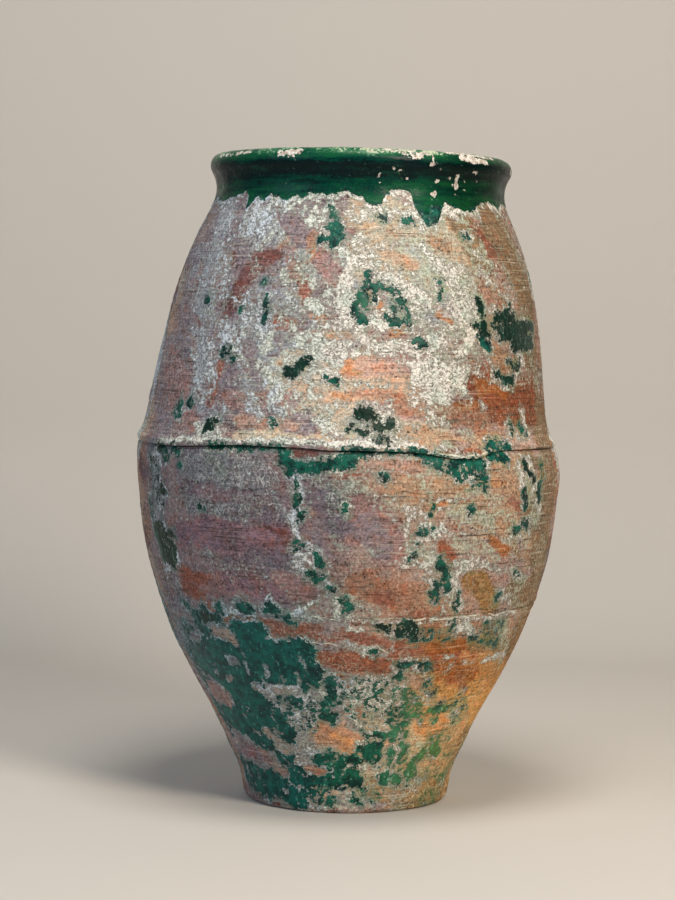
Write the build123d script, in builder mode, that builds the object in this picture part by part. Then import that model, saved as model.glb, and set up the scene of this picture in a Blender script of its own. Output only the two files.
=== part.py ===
"""A tall olive storage jar of fired clay, built up by hand from a foot slab, three drums and a rim collar.

The drums stand on one another. Each seam is closed by a coil of clay pressed into a groove
round the outside, and one more coil seals the corner inside the foot. A coat of glaze lines
the inside, and a second coat covers the rolled rim. The upper drum leans towards +X.
The origin is at the centre of the foot, on the ground, and +Z is up. Lengths are in millimetres.
"""
from build123d import *
import math
import os

# Heights of the pieces, stacked from the ground
slab_thickness = 28
lower_drum_height = 267
belly_drum_height = 238
shoulder_drum_height = 347
collar_height = 70

# Outer radii, and how far other rings stand in or out from them
foot_radius = 151
slab_flare = 5
lower_seam_radius = 278.5
belly_radius = 314.5
ridge_fall = 6.5
neck_seam_radius = 216.5
neck_pinch = 4.5
rim_overhang = 10

# Walls and coats
wall = 22
inner_glaze = 1.2
rim_glaze_coat = 1.0
foot_edge_radius = 7
rim_roll_radius = 16
roll_wrap_degrees = 35
glaze_edge_height = 9

# Coils of clay that close the seams, and how far each stands out of the wall
lower_coil_radius = 8
lower_coil_proud = 2
ridge_coil_radius = 8.5
ridge_coil_proud = 4
neck_coil_radius = 7
neck_coil_proud = 1.5
corner_coil_radius = 16

# Lean of the upper drum: how far its two ends lie from the jar's axis, and how they tip
ridge_shift = -2.5
neck_shift = 14
ridge_tip_degrees = 0.8
neck_tip_degrees = 1.0

# Wall lines of the drums: share of the drum's height, then share of its change in radius
lower_wall_shares = [(0, 0), (0.07, 0.035), (0.21, 0.175), (0.36, 0.33), (0.51, 0.51),
                     (0.66, 0.685), (0.81, 0.84), (1, 1)]
belly_swell_shares = [(0, 0), (0.13, 0.29), (0.28, 0.56), (0.45, 0.76), (0.64, 0.90), (0.82, 1)]
shoulder_fall_shares = [(0, 0), (0.09, 0.10), (0.21, 0.18), (0.38, 0.28), (0.50, 0.365),
                        (0.61, 0.445), (0.73, 0.57), (0.86, 0.755), (1, 1)]
neck_height_share = 0.24

# Heights of the seams above the ground, and the radii of the rings between the named ones
lower_seam_height = slab_thickness + lower_drum_height
ridge_height = lower_seam_height + belly_drum_height
neck_seam_height = ridge_height + shoulder_drum_height
slab_top_radius = foot_radius + slab_flare
ridge_radius = belly_radius - ridge_fall
neck_radius = neck_seam_radius - neck_pinch
rim_radius = neck_radius + rim_overhang


def level(shift, height, tip_degrees=0):
    """The plane across the jar at a height, moved sideways and tipped down towards +X."""
    tip = math.radians(tip_degrees)
    return Plane(
        origin=(shift, 0, height),
        x_dir=(math.cos(tip), 0, -math.sin(tip)),
        z_dir=(math.sin(tip), 0, math.cos(tip)),
    )


def between(start, end, share):
    """The value that lies this share of the way from start to end."""
    return start + (end - start) * share


def stack_of_rings(low_end, high_end, shares):
    """The planes and outer radii that a drum's wall passes through.

    Each end is the drum's shift, height, tip in degrees and outer radius there.
    """
    rings = []
    for height_share, radius_share in shares:
        shift, height, tip = [between(low, high, height_share) for low, high in zip(low_end[:3], high_end[:3])]
        rings.append((level(shift, height, tip), between(low_end[3], high_end[3], radius_share)))
    return rings


def lofted_body(rings, inset=0):
    """A solid through the rings, with its surface moved inwards by the inset."""
    with BuildPart() as body:
        for plane, radius in rings:
            with BuildSketch(plane):
                Circle(radius - inset)
        loft()
    return body.part


def coil(seam_plane, wall_radius, coil_radius, proud):
    """A round coil of clay along a seam, standing out of the wall by the given amount."""
    with BuildPart() as ring:
        with BuildSketch(Plane(seam_plane.origin, x_dir=seam_plane.x_dir, z_dir=-seam_plane.y_dir)):
            with Locations((wall_radius + proud - coil_radius, 0)):
                Circle(coil_radius)
        revolve(axis=Axis(seam_plane.origin, seam_plane.z_dir))
    return ring.part


# The planes of the seams, and the rings of each drum
slab_top = level(0, slab_thickness)
lower_seam = level(0, lower_seam_height)
ridge_seam = level(ridge_shift, ridge_height, ridge_tip_degrees)
neck_seam = level(neck_shift, neck_seam_height, neck_tip_degrees)

belly_rings = stack_of_rings(
    (0, lower_seam_height, 0, lower_seam_radius),
    (0, ridge_height, 0, belly_radius),
    belly_swell_shares,
)
shoulder_rings = stack_of_rings(
    (ridge_shift, ridge_height, ridge_tip_degrees, ridge_radius),
    (neck_shift, neck_seam_height, neck_tip_degrees, neck_seam_radius),
    shoulder_fall_shares,
)
lower_rings = stack_of_rings(
    (0, slab_thickness, 0, slab_top_radius),
    (0, lower_seam_height, 0, lower_seam_radius),
    lower_wall_shares,
)
wall_rings = lower_rings + belly_rings[1:] + shoulder_rings

# The whole wall as it is shaped by hand, its hollow, and the space that the glaze leaves free in it
outer_body = lofted_body(wall_rings)
hollow = lofted_body(wall_rings, wall)
free_space = lofted_body(wall_rings, wall + inner_glaze)

# The coils in the three outer seams
lower_coil = coil(lower_seam, lower_seam_radius, lower_coil_radius, lower_coil_proud)
ridge_coil = coil(ridge_seam, ridge_radius, ridge_coil_radius, ridge_coil_proud)
neck_coil = coil(neck_seam, neck_seam_radius, neck_coil_radius, neck_coil_proud)

# The foot slab, a disc that flares a little upwards and is worn round at its lower edge
with BuildPart() as base_slab:
    with BuildSketch(Plane.XZ):
        with BuildLine():
            Polyline(
                (0, 0),
                (foot_radius, 0),
                (slab_top_radius, slab_thickness),
                (0, slab_thickness),
                close=True,
            )
        make_face()
    revolve(axis=Axis.Z)
    foot_edge = base_slab.edges().filter_by(GeomType.CIRCLE).sort_by(Axis.Z)[0]
    fillet(foot_edge, radius=foot_edge_radius)

# The lower drum, which stands on the slab and opens out upwards
with BuildPart() as lower_drum:
    add(outer_body)
    add(hollow, mode=Mode.SUBTRACT)
    split(bisect_by=lower_seam, keep=Keep.BOTTOM)
    add(lower_coil, mode=Mode.SUBTRACT)

# The belly drum, which holds the jar's widest ring
with BuildPart() as belly_drum:
    add(outer_body)
    add(hollow, mode=Mode.SUBTRACT)
    split(bisect_by=lower_seam, keep=Keep.TOP)
    split(bisect_by=ridge_seam, keep=Keep.BOTTOM)
    add(lower_coil, mode=Mode.SUBTRACT)
    add(ridge_coil, mode=Mode.SUBTRACT)

# The shoulder drum, which leans and closes in to the neck
with BuildPart() as shoulder_drum:
    add(outer_body)
    add(hollow, mode=Mode.SUBTRACT)
    split(bisect_by=ridge_seam, keep=Keep.TOP)
    add(ridge_coil, mode=Mode.SUBTRACT)
    add(neck_coil, mode=Mode.SUBTRACT)

# The corner coil, pressed down inside the foot where the lower drum meets the slab
corner_radius = slab_top_radius - wall
with BuildPart() as corner_coil:
    add(coil(slab_top, corner_radius, corner_coil_radius, corner_coil_radius))
    add(hollow, mode=Mode.INTERSECT)

# Half section of the rim collar: a pinched neck under a rolled rim, in the plane of its own seam
neck_half_plane = Plane(neck_seam.origin, x_dir=neck_seam.x_dir, z_dir=-neck_seam.y_dir)
neck_axis = Axis(neck_seam.origin, neck_seam.z_dir)
roll_centre = (rim_radius - rim_roll_radius, collar_height - rim_roll_radius)
neck_height = collar_height * neck_height_share
throat_foot_radius = neck_seam_radius - wall
throat_top_radius = rim_radius - 2 * rim_roll_radius

with BuildSketch() as collar_section:
    with BuildLine():
        throat = Line((throat_foot_radius, 0), (throat_top_radius, roll_centre[1]))
        roll = CenterArc(roll_centre, rim_roll_radius, 180, -180 - roll_wrap_degrees)
        neck = ThreePointArc(roll @ 1, (neck_radius, neck_height), (neck_seam_radius, 0))
        Line(neck @ 1, throat @ 0)
    make_face()

# The glaze on the collar: a coat round the section, from the throat's foot over the roll and down
# the outside to the glaze's lower edge, a little above the neck's coil
with BuildSketch() as glaze_section:
    add(collar_section.sketch)
    offset(amount=rim_glaze_coat)
    add(collar_section.sketch, mode=Mode.SUBTRACT)
    with Locations((throat_foot_radius, 0)):
        Rectangle(2 * wall, collar_height, align=(Align.CENTER, Align.MAX), mode=Mode.SUBTRACT)
    with Locations((neck_seam_radius, glaze_edge_height)):
        Rectangle(wall, collar_height, align=(Align.CENTER, Align.MAX), mode=Mode.SUBTRACT)

with BuildPart() as rim_collar:
    with BuildSketch(neck_half_plane):
        add(collar_section.sketch)
    revolve(axis=neck_axis)
    add(neck_coil, mode=Mode.SUBTRACT)

with BuildPart() as rim_glaze:
    with BuildSketch(neck_half_plane):
        add(glaze_section.sketch)
    revolve(axis=neck_axis)

# The glaze inside: a coat on the slab, over the corner coil and up the three drums
glazed_corner_radius = corner_coil_radius + inner_glaze
with BuildPart() as glazed_space:
    add(free_space)
    split(bisect_by=level(0, slab_thickness + inner_glaze), keep=Keep.TOP)
    add(coil(slab_top, corner_radius, glazed_corner_radius, glazed_corner_radius), mode=Mode.SUBTRACT)

with BuildPart() as interior_glaze:
    add(hollow)
    add(corner_coil.part, mode=Mode.SUBTRACT)
    add(glazed_space.part, mode=Mode.SUBTRACT)

pieces = {
    "base_slab": base_slab.part,
    "corner_coil": corner_coil.part,
    "lower_drum": lower_drum.part,
    "lower_seam_coil": lower_coil,
    "belly_drum": belly_drum.part,
    "ridge_coil": ridge_coil,
    "shoulder_drum": shoulder_drum.part,
    "neck_seam_coil": neck_coil,
    "rim_collar": rim_collar.part,
    "rim_glaze": rim_glaze.part,
    "interior_glaze": interior_glaze.part,
}

os.makedirs("parts", exist_ok=True)
for name, piece in pieces.items():
    piece.label = name
    export_step(piece, f"parts/{name}.step")
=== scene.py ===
import math

import bpy
import mathutils
import numpy as np
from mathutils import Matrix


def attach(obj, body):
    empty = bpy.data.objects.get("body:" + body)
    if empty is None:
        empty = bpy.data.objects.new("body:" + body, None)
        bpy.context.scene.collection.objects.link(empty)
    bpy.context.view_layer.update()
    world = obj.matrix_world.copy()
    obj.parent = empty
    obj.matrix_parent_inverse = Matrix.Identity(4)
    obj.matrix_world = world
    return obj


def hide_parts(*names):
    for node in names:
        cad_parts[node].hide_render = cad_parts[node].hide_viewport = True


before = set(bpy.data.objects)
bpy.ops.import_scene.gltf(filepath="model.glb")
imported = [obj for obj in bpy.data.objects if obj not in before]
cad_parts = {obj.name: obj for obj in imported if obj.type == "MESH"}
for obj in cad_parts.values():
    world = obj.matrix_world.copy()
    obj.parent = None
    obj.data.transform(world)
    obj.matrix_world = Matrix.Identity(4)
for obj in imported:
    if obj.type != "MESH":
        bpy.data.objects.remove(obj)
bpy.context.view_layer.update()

MM = 0.001

# Wall line of the CAD drums: height and outer radius of each ring, then the lean of the upper drum
LOWER_SHARES = [(0, 0), (0.07, 0.035), (0.21, 0.175), (0.36, 0.33), (0.51, 0.51),
                (0.66, 0.685), (0.81, 0.84), (1, 1)]
BELLY_SHARES = [(0.13, 0.29), (0.28, 0.56), (0.45, 0.76), (0.64, 0.90), (0.82, 1)]
SHOULDER_SHARES = [(0, 0), (0.09, 0.10), (0.21, 0.18), (0.38, 0.28), (0.50, 0.365),
                   (0.61, 0.445), (0.73, 0.57), (0.86, 0.755), (1, 1)]
FOOT_RADIUS = 151.0
SLAB_TOP = 28.0
SLAB_TOP_RADIUS = 156.0
LOWER_SEAM = 295.0
LOWER_SEAM_RADIUS = 278.5
BELLY_RADIUS = 314.5
RIDGE = 533.0
RIDGE_RADIUS = 308.0
NECK_SEAM = 880.0
NECK_SEAM_RADIUS = 216.5
RIDGE_SHIFT = -2.5
NECK_SHIFT = 14.0
RIDGE_TIP = 0.8
NECK_TIP = 1.0
ROLL_CENTRE = (206.0, 54.0)
ROLL_RADIUS = 16.0
ROLL_END_DEGREES = -35
NECK_PINCH = (212.0, 16.8)

# How deep the drums reach in behind their outer face, and how many points each row has
WALL = 17.0
COLUMNS = 640
ANGLES = np.arange(COLUMNS) * 360 / COLUMNS - 180

# The sheet of noise that is wrapped round the wall: its length and its height
GIRTH = 1760
RISE = 1100


def rings(low, high, low_radius, high_radius, shares):
    """Height and radius of the rings between two seams."""
    return [(low + (high - low) * s, low_radius + (high_radius - low_radius) * r) for s, r in shares]


WALL_LINE = (
    [(0, FOOT_RADIUS)]
    + rings(SLAB_TOP, LOWER_SEAM, SLAB_TOP_RADIUS, LOWER_SEAM_RADIUS, LOWER_SHARES)
    + rings(LOWER_SEAM, RIDGE, LOWER_SEAM_RADIUS, BELLY_RADIUS, BELLY_SHARES)
    + rings(RIDGE, NECK_SEAM, RIDGE_RADIUS, NECK_SEAM_RADIUS, SHOULDER_SHARES)
)
LEAN_LINE = [(0, 0), (400, 0), (490, 0), (RIDGE, RIDGE_SHIFT), (700, 5.5), (NECK_SEAM, NECK_SHIFT)]
TIP_LINE = [(0, 0), (400, 0), (490, 0), (RIDGE, RIDGE_TIP), (700, 0.9), (NECK_SEAM, NECK_TIP)]

# Where the jar's axis lies at a height, as the patches below were placed
AXIS_LINE = [(0, 0), (490, 0), (533, -2.5), (565, -2), (880, 13.5), (910, 15), (950, 15.5)]


def curve(points, at):
    """A smooth line through the points, read at the given places."""
    x, y = np.array(points, float).T
    step = np.diff(x)
    slope = np.diff(y) / step
    middle = (slope[:-1] * step[1:] + slope[1:] * step[:-1]) / (step[1:] + step[:-1])
    tangent = np.concatenate(([slope[0]], middle, [slope[-1]]))
    at = np.clip(np.asarray(at, float), x[0], x[-1])
    i = np.clip(np.searchsorted(x, at, side="right") - 1, 0, len(x) - 2)
    t = (at - x[i]) / step[i]
    rise = y[i + 1] - y[i]
    enter = tangent[i] * step[i]
    leave = tangent[i + 1] * step[i]
    return y[i] + t * enter + t * t * (3 * rise - 2 * enter - leave) + t ** 3 * (enter + leave - 2 * rise)


def by_height(table, height):
    """A value given at some heights, read at others."""
    return np.interp(height, *np.array(table, float).T)


def round_table(table, angle):
    """A value given at some angles, read round the whole jar."""
    return np.interp((angle + 180) % 360 - 180, *np.array(table, float).T)


def even(low, high, step):
    """Evenly spaced levels with about this step, up or down."""
    return np.linspace(low, high, max(2, round(abs(high - low) / step) + 1))


def ramp(value, low, high):
    """0 below low, 1 above high, smooth between."""
    t = np.clip((value - low) / (high - low), 0, 1)
    return t * t * (3 - 2 * t)


def lattice(angle, height, cell, seed):
    """Smooth noise from -1 to 1 over the wall, with features about this many millimetres wide."""
    across = max(5, round(GIRTH / cell))
    up = int(RISE / cell) + 4
    values = np.random.RandomState(seed).uniform(-1, 1, (up, across))
    x = (angle / 360 % 1) * across
    y = np.clip(height / cell + 1, 0, up - 2)
    ix, iy = np.floor(x).astype(int), np.floor(y).astype(int)
    fx, fy = x - ix, y - iy
    fx, fy = fx * fx * (3 - 2 * fx), fy * fy * (3 - 2 * fy)
    ix, right = ix % across, (ix + 1) % across
    low = values[iy, ix] * (1 - fx) + values[iy, right] * fx
    high = values[iy + 1, ix] * (1 - fx) + values[iy + 1, right] * fx
    return low * (1 - fy) + high * fy


def layered(angle, height, cell, seed, octaves=3):
    """Noise in several sizes, each half as wide as the one before and 0.6 times as strong."""
    total = 0
    for k in range(octaves):
        total = total + lattice(angle, height, cell / 2 ** k, seed + k) * 0.6 ** k
    return total


# Where the patches lie: angle and height of a stroke's two ends, its half width in millimetres,
# and how full it is: 1 is whole, 0 is about half covered, -0.4 a few flecks
GREEN = [
    (-11.5, 866, -9, 852, 3, 1), (-8.4, 838, -7, 824, 9, 1), (-8, 820, -7.5, 812, 4, 1),
    (-12.5, 822, -10, 823, 4.5, 1), (3.5, 772, 2.5, 754, 3, 0.8), (1.4, 742, 2.6, 730, 5, 0.9),
    (3.4, 752, 6.5, 756, 2.5, 0.8), (0, 726, 2, 706, 4, 0.5), (4.4, 744, 5.2, 736, 2.5, 0.6),
    (8, 752, 13, 750, 2.5, 0.4), (12, 728, 12.5, 712, 3, 0.3), (4.5, 760, 5.5, 752, 2, 0.4),
    (11, 754, 12, 740, 4, 0.1), (14, 732, 15.5, 712, 4, 0.3), (9, 716, 15, 711, 2.5, 0.5),
    (12, 742, 14.5, 740, 2.5, 0.6), (10.5, 712, 13, 709, 4, 0.8), (15, 705, 17, 704, 3, 1),
    (18.5, 684, 21, 681, 3.5, 1), (7, 855, 8, 855, 3.5, 1), (16, 848, 18, 848, 4, 1),
    (38, 827, 40, 828, 3, 0.7), (26.5, 762, 26.5, 746, 1.8, 1), (-36, 728, -36, 724, 3, 0.8),
    (-27, 734, -26.5, 708, 3.5, 0.6), (-51, 742, -50, 738, 4, 0.5), (-29.8, 764, -28.6, 767, 3, 1),
    (39, 744, 41.5, 716, 3, 1), (38.5, 708, 39, 704, 2.5, 0.8), (41.5, 708, 43, 694, 5, 1),
    (41, 684, 43, 676, 6.5, 1), (46, 704, 50, 690, 5, 0.9), (48, 712, 54, 716, 8, 1),
    (55, 727, 56, 720, 3.5, 1), (52, 700, 62, 694, 14, 1), (56, 680, 67, 680, 11, 1),
    (58, 705, 70, 704, 8, 0.9), (49, 702, 51, 697, 6, 1), (45, 642, 47, 638, 3, 1),
    (48, 630, 51, 627, 5, 1), (51, 628, 53, 626, 4, 0.4), (52, 655, 54, 645, 3, 0.4),
    (54, 648, 56, 642, 4, 1), (57, 656, 56, 645, 2.5, 0.8), (-38.5, 668, -36, 655, 4, 0.9),
    (-39.5, 662, -38, 661, 3, 0.6), (-17.5, 640, -15, 643, 7, 1), (-14.5, 648, -12, 655, 6, 1),
    (-12, 657, -11.5, 660, 3, 1), (-41, 560, -39.5, 558, 7, 1), (-39.5, 566, -37, 571, 2.5, 1),
    (-20.3, 567, -19.6, 562, 3.2, 1), (-6, 632, -3.5, 625, 2, 0.8), (3.2, 582, 5.5, 578, 8, 1),
    (6.5, 566, 12, 563, 4, 0.9), (9.8, 572, 11, 568, 4, 0.8), (8, 549, 10, 547, 3, 0.8),
    (1.5, 570, 1, 560, 2, 0.7), (3, 558, 5, 555, 2, 0.6), (50.2, 565, 50, 555, 2.8, 1),
    (41, 542, 46, 538, 6, 0.2), (55, 560, 57, 552, 5, 0.3), (-55, 575, -54, 590, 5, 0.3),
    (-50, 588, -49, 596, 3, 0.5),
    # just under the ridge
    (-38, 532, -34, 533, 4, 1), (-33, 535, -21, 534, 3, 0.6), (-20, 533, -17, 528, 4, 0.9),
    (-16.8, 522, -15, 500, 7, 1), (-14.5, 506, -8, 507, 8, 1), (-8, 509, 1, 517, 7, 1),
    (0, 521, 6, 527, 3.5, 0.8), (-2, 529, 20, 530, 1.4, 0.5), (19, 526, 23, 520, 4, 0.5),
    (21, 520, 25, 510, 8, 0.3), (28, 508, 29, 494, 6, 0.6), (28.5, 510, 37, 509, 8, 0.9),
    (31, 499, 37, 494, 8, 0.35), (33, 484, 37, 482, 5, 0.2), (39.5, 527, 44, 519, 7, 0.7),
    (-60, 526, -56, 516, 8, 0.8), (-52.5, 527, -50.5, 520, 7, 0.9), (-50, 502, -48.8, 500, 3.5, 1),
    # belly
    (-14, 494, -13.7, 478, 2, 0.6), (-13.8, 468, -13.4, 460, 4, 0.9), (-12.6, 446, -12.4, 436, 3.5, 0.8),
    (-13.4, 402, -12, 397, 4, 1), (-14.2, 394, -13.6, 393, 2.5, 1), (-9, 390, -7.8, 368, 2.5, 0.6),
    (-10.8, 358, -7, 353, 5, 0.8), (-6, 340, -4.4, 334, 4, 0.4), (-1.8, 322, -0.6, 308, 5, 1),
    (-1.2, 456, -0.8, 450, 3, 1), (8.5, 501, 8.6, 494, 2.2, 1), (19.5, 422, 20.8, 421, 3.5, 1),
    (21.8, 424, 22.5, 427, 2, 0.9), (21.3, 458, 21.3, 449, 1.6, 1), (32, 453, 32.6, 448, 3, 1),
    (25.2, 378, 28, 352, 4, 1), (28.2, 350, 28.8, 338, 2.5, 1), (24.3, 346, 25.3, 338, 2.5, 0.7),
    (24.5, 333, 25.3, 322, 5, 0.4), (16.5, 386, 17.4, 384, 3, 0.5), (18, 412, 18.5, 410, 2.5, 1),
    (52.5, 512, 53, 502, 5, 0.8), (54.5, 497, 57, 486, 4, 0.8), (52, 474, 53, 460, 2.5, 0.8),
    (53, 460, 53.2, 446, 2, 0.8), (48.7, 418, 49, 416, 2.5, 1), (50.6, 421, 51, 419, 3, 1),
    (53, 426, 55, 423, 5, 0.5), (47, 322, 48, 320, 3.5, 1), (53.5, 356, 54.5, 352, 4, 0.3),
    (60, 478, 60.5, 460, 6, 0.7), (62, 505, 63, 490, 6, 0.0), (31.5, 330, 31.8, 310, 3, 0.3),
    (-63, 405, -60, 378, 15, 1), (-62, 372, -56, 366, 10, 1), (-57, 392, -55, 380, 6, 0.9),
    (-56, 403, -54, 405, 4, 1), (-60, 415, -59, 400, 5, 0.7), (-41.2, 447, -40.6, 446, 2, 1),
    (-64, 520, -60, 450, 9, -0.25), (-66, 450, -64, 400, 8, 0.1), (-58, 470, -57.5, 460, 4, 0.5),
    (-61, 495, -60, 485, 4, 0.2),
    # round the lower seam
    (-22.4, 315, -20.6, 304, 6.5, 1), (-32, 308, -29.5, 306, 6, 1), (-31, 316, -29.5, 314, 3, 1),
    (-40, 306, -39, 299, 4, 0.8), (-24.5, 308, -23.5, 305, 3, 1), (-18.3, 294, -17, 292, 3, 1),
    (8.5, 290, 11.5, 285, 5, 1), (14.5, 281, 19.5, 284, 6.5, 1), (16.5, 291, 18.5, 290, 4, 1),
    (19, 274, 21, 268, 5, 0.5), (7.8, 248, 9, 247, 3.5, 1), (-48, 303, -46, 300, 3, 0.8),
    (31.5, 292, 31.8, 286, 3, 0.4), (-57, 306, -55, 303, 4, 0.7),
    # lower drum, the large runs of glaze
    (-52, 288, -41, 289, 8, 1), (-52, 279, -49, 266, 9, 1), (-34, 271, -28, 271, 14, 1.4),
    (-34, 245, -14, 246, 19, 1.4), (-30, 222, -13, 216, 22, 0.9), (-24, 206, -14, 204, 10, 0.6),
    (-15.2, 203, -15, 192, 6, 0.7), (-47, 240, -38, 238, 19, 1.4), (-58, 240, -48, 232, 20, 0.6),
    (-57, 214, -40, 214, 22, 0.8), (-60, 262, -54, 240, 12, 0.0), (-64, 225, -60, 180, 14, 0.1),
    (-48, 190, -36, 192, 24, 1.4), (-50, 165, -35, 170, 24, 1.4), (-56, 135, -36, 140, 22, 1.4),
    (-50, 118, -40, 118, 16, 1.4), (-32, 170, -28, 158, 9, 0.6), (-34, 148, -26, 144, 12, 0.2),
    (-27, 140, -24, 124, 9, 0.9), (-30, 132, -25, 124, 6, 0.5), (-24, 172, -19, 168, 8, 0.2),
    (-25, 158, -14, 150, 12, -0.05), (-20, 140, -15, 132, 9, -0.1), (-31, 112, -24, 110, 5, 0.3),
    (-66, 140, -60, 100, 12, 0.3), (-64, 190, -62, 120, 12, 0.2), (-36, 100, -35, 92, 5, 0.8),
    (-37, 92, -31, 74, 5, 0.8), (-31, 84, -27, 79, 5, 0.7), (-47, 100, -40, 98, 5, 0.6),
    (-28, 66, -16, 58, 5, 0.4), (-5.6, 202, -4.4, 178, 8, 1), (-6.5, 176, -6, 168, 5, 0.8),
    (-9.6, 152, -5, 147, 6.5, 1), (-13, 166, -9, 160, 7, 0.1), (-13.5, 84, -8, 90, 7, 0.9),
    (-9, 80, -2, 72, 7, 0.5), (-12, 70, -9, 64, 5, 0.5), (-8, 60, 3, 50, 9, 0.8),
    (-16, 52, -8, 48, 6, 0.7), (-22, 50, -15, 52, 6, 0.6), (-20, 40, -2, 42, 4, 0.2),
    (-1, 84, 5, 81, 7, 1), (2, 60, 5, 48, 9, 0.9), (-31, 56, -21, 44, 10, 0.9),
    (-24, 62, -19, 58, 5, 0.8), (-44, 40, -30, 22, 14, 0.9), (-40, 54, -34, 48, 7, 0.7),
    (-34, 18, -24, 14, 8, 0.8), (-54, 52, -42, 46, 10, 0.6), (-64, 40, -46, 26, 14, 0.5),
    (-66, 60, -58, 50, 8, 0.3), (-24, 30, -14, 34, 5, 0.3), (-16, 22, -6, 20, 5, 0.1),
    (4, 22, 7, 19, 5, 0.4), (6, 34, 14, 26, 6, -0.2),
    # lower drum, right: small leavings, runs and webs
    (7.5, 102, 13.5, 101, 8, 1), (9, 92, 12, 86, 6, 0.8), (9, 122, 14, 124, 3.5, 0.7),
    (14, 96, 15, 84, 3, 0.3), (17, 230, 19, 232, 6, 0.9), (16.8, 218, 17.6, 210, 5, 0.9),
    (25, 226, 26.5, 222, 5, 0.4), (20, 236, 22, 235, 2.5, 0.3), (1, 192, 12, 196, 14, -0.2),
    (6, 182, 13, 176, 13, -0.1), (9, 170, 18, 164, 9, -0.15), (2, 160, 8, 150, 8, -0.3),
    (15, 190, 19, 178, 9, -0.25), (4, 140, 10, 136, 6, -0.35), (21, 180, 25, 168, 9, 0.1),
    (24, 166, 28, 158, 6, 0.2), (26, 152, 31, 150, 4, 0.3), (29, 196, 32, 184, 5, -0.1),
    (17, 150, 19, 144, 4, 0.1), (21, 158, 24, 150, 4, 0.3), (19.5, 130, 21, 116, 4.5, 0.6),
    (24, 140, 25.5, 120, 4, 0.1), (25, 108, 27.5, 92, 5.5, 0.9), (20, 95, 24, 84, 6.5, 0.8),
    (20, 56, 27, 49, 7.5, 0.8), (22, 78, 23, 62, 5, 0.4), (15, 76, 18, 72, 4, 0.0),
    (15, 124, 18, 120, 3.5, 0.4), (32, 55, 37, 52, 6, 0.7), (33, 67, 36, 60, 6, 0.7),
    (34, 76, 38, 84, 4.5, 0.5), (38, 90, 45, 97, 4.5, 0.3), (43, 93, 48, 82, 5.5, 0.5),
    (35, 158, 43, 157, 4.5, 0.8), (40, 158, 46, 161, 3, 0.2), (36, 150, 38, 142, 4, -0.1),
    (46, 162, 53, 138, 9, -0.35), (42, 110, 50, 104, 7, -0.35), (50, 92, 60, 76, 9, -0.4),
    (36, 44, 44, 48, 5, -0.2), (41, 50, 54, 52, 5, -0.35), (48, 14, 58, 12, 7, -0.3),
    (62, 40, 68, 48, 8, 0.0), (28, 62, 32, 46, 5, -0.3), (46, 262, 54, 256, 8, -0.15),
    (47, 280, 54, 272, 8, -0.2), (41, 264, 42, 258, 4, 0.0), (22, 272, 32, 270, 5, -0.2),
]

# Bare places inside the green
BARE = [
    (-44, 268, -38.5, 264, 11), (-37.5, 262, -36.5, 254, 6), (-58.5, 256, -54, 254, 8),
    (-41.5, 228, -38.5, 224, 6), (-46.5, 196, -43.5, 198, 4.5), (-60, 168, -54, 168, 20),
    (-57, 190, -55, 184, 8), (-51, 205, -50, 218, 3), (-58, 96, -50, 84, 18), (-50, 82, -40, 78, 14),
    (-38, 84, -35, 66, 9), (-36, 66, -32, 58, 9), (-36, 118, -31, 106, 9), (-31, 100, -28, 90, 9),
    (-33.5, 188, -29, 176, 7), (-28, 188, -18, 186, 8), (-42, 116, -40, 114, 3),
    (-42.5, 152, -41.5, 150, 3), (-47, 144, -46, 142, 3), (-34.8, 240, -34.6, 205, 2),
    (-27.5, 218, -26.5, 212, 3), (-14.8, 238, -13.6, 226, 3), (-16.4, 216, -16.2, 204, 3),
    (-22, 207, -21.8, 202, 3), (-34, 30, -33, 26, 3), (23.4, 98, 22.8, 62, 3), (36, 100, 46, 76, 1.5),
    (-18, 68, -12, 66, 9), (24, 529, 39, 527, 5), (29.8, 508, 30, 486, 0.9), (32, 510, 32.3, 492, 0.8),
    (34.6, 506, 34.9, 484, 0.9),
]

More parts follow.
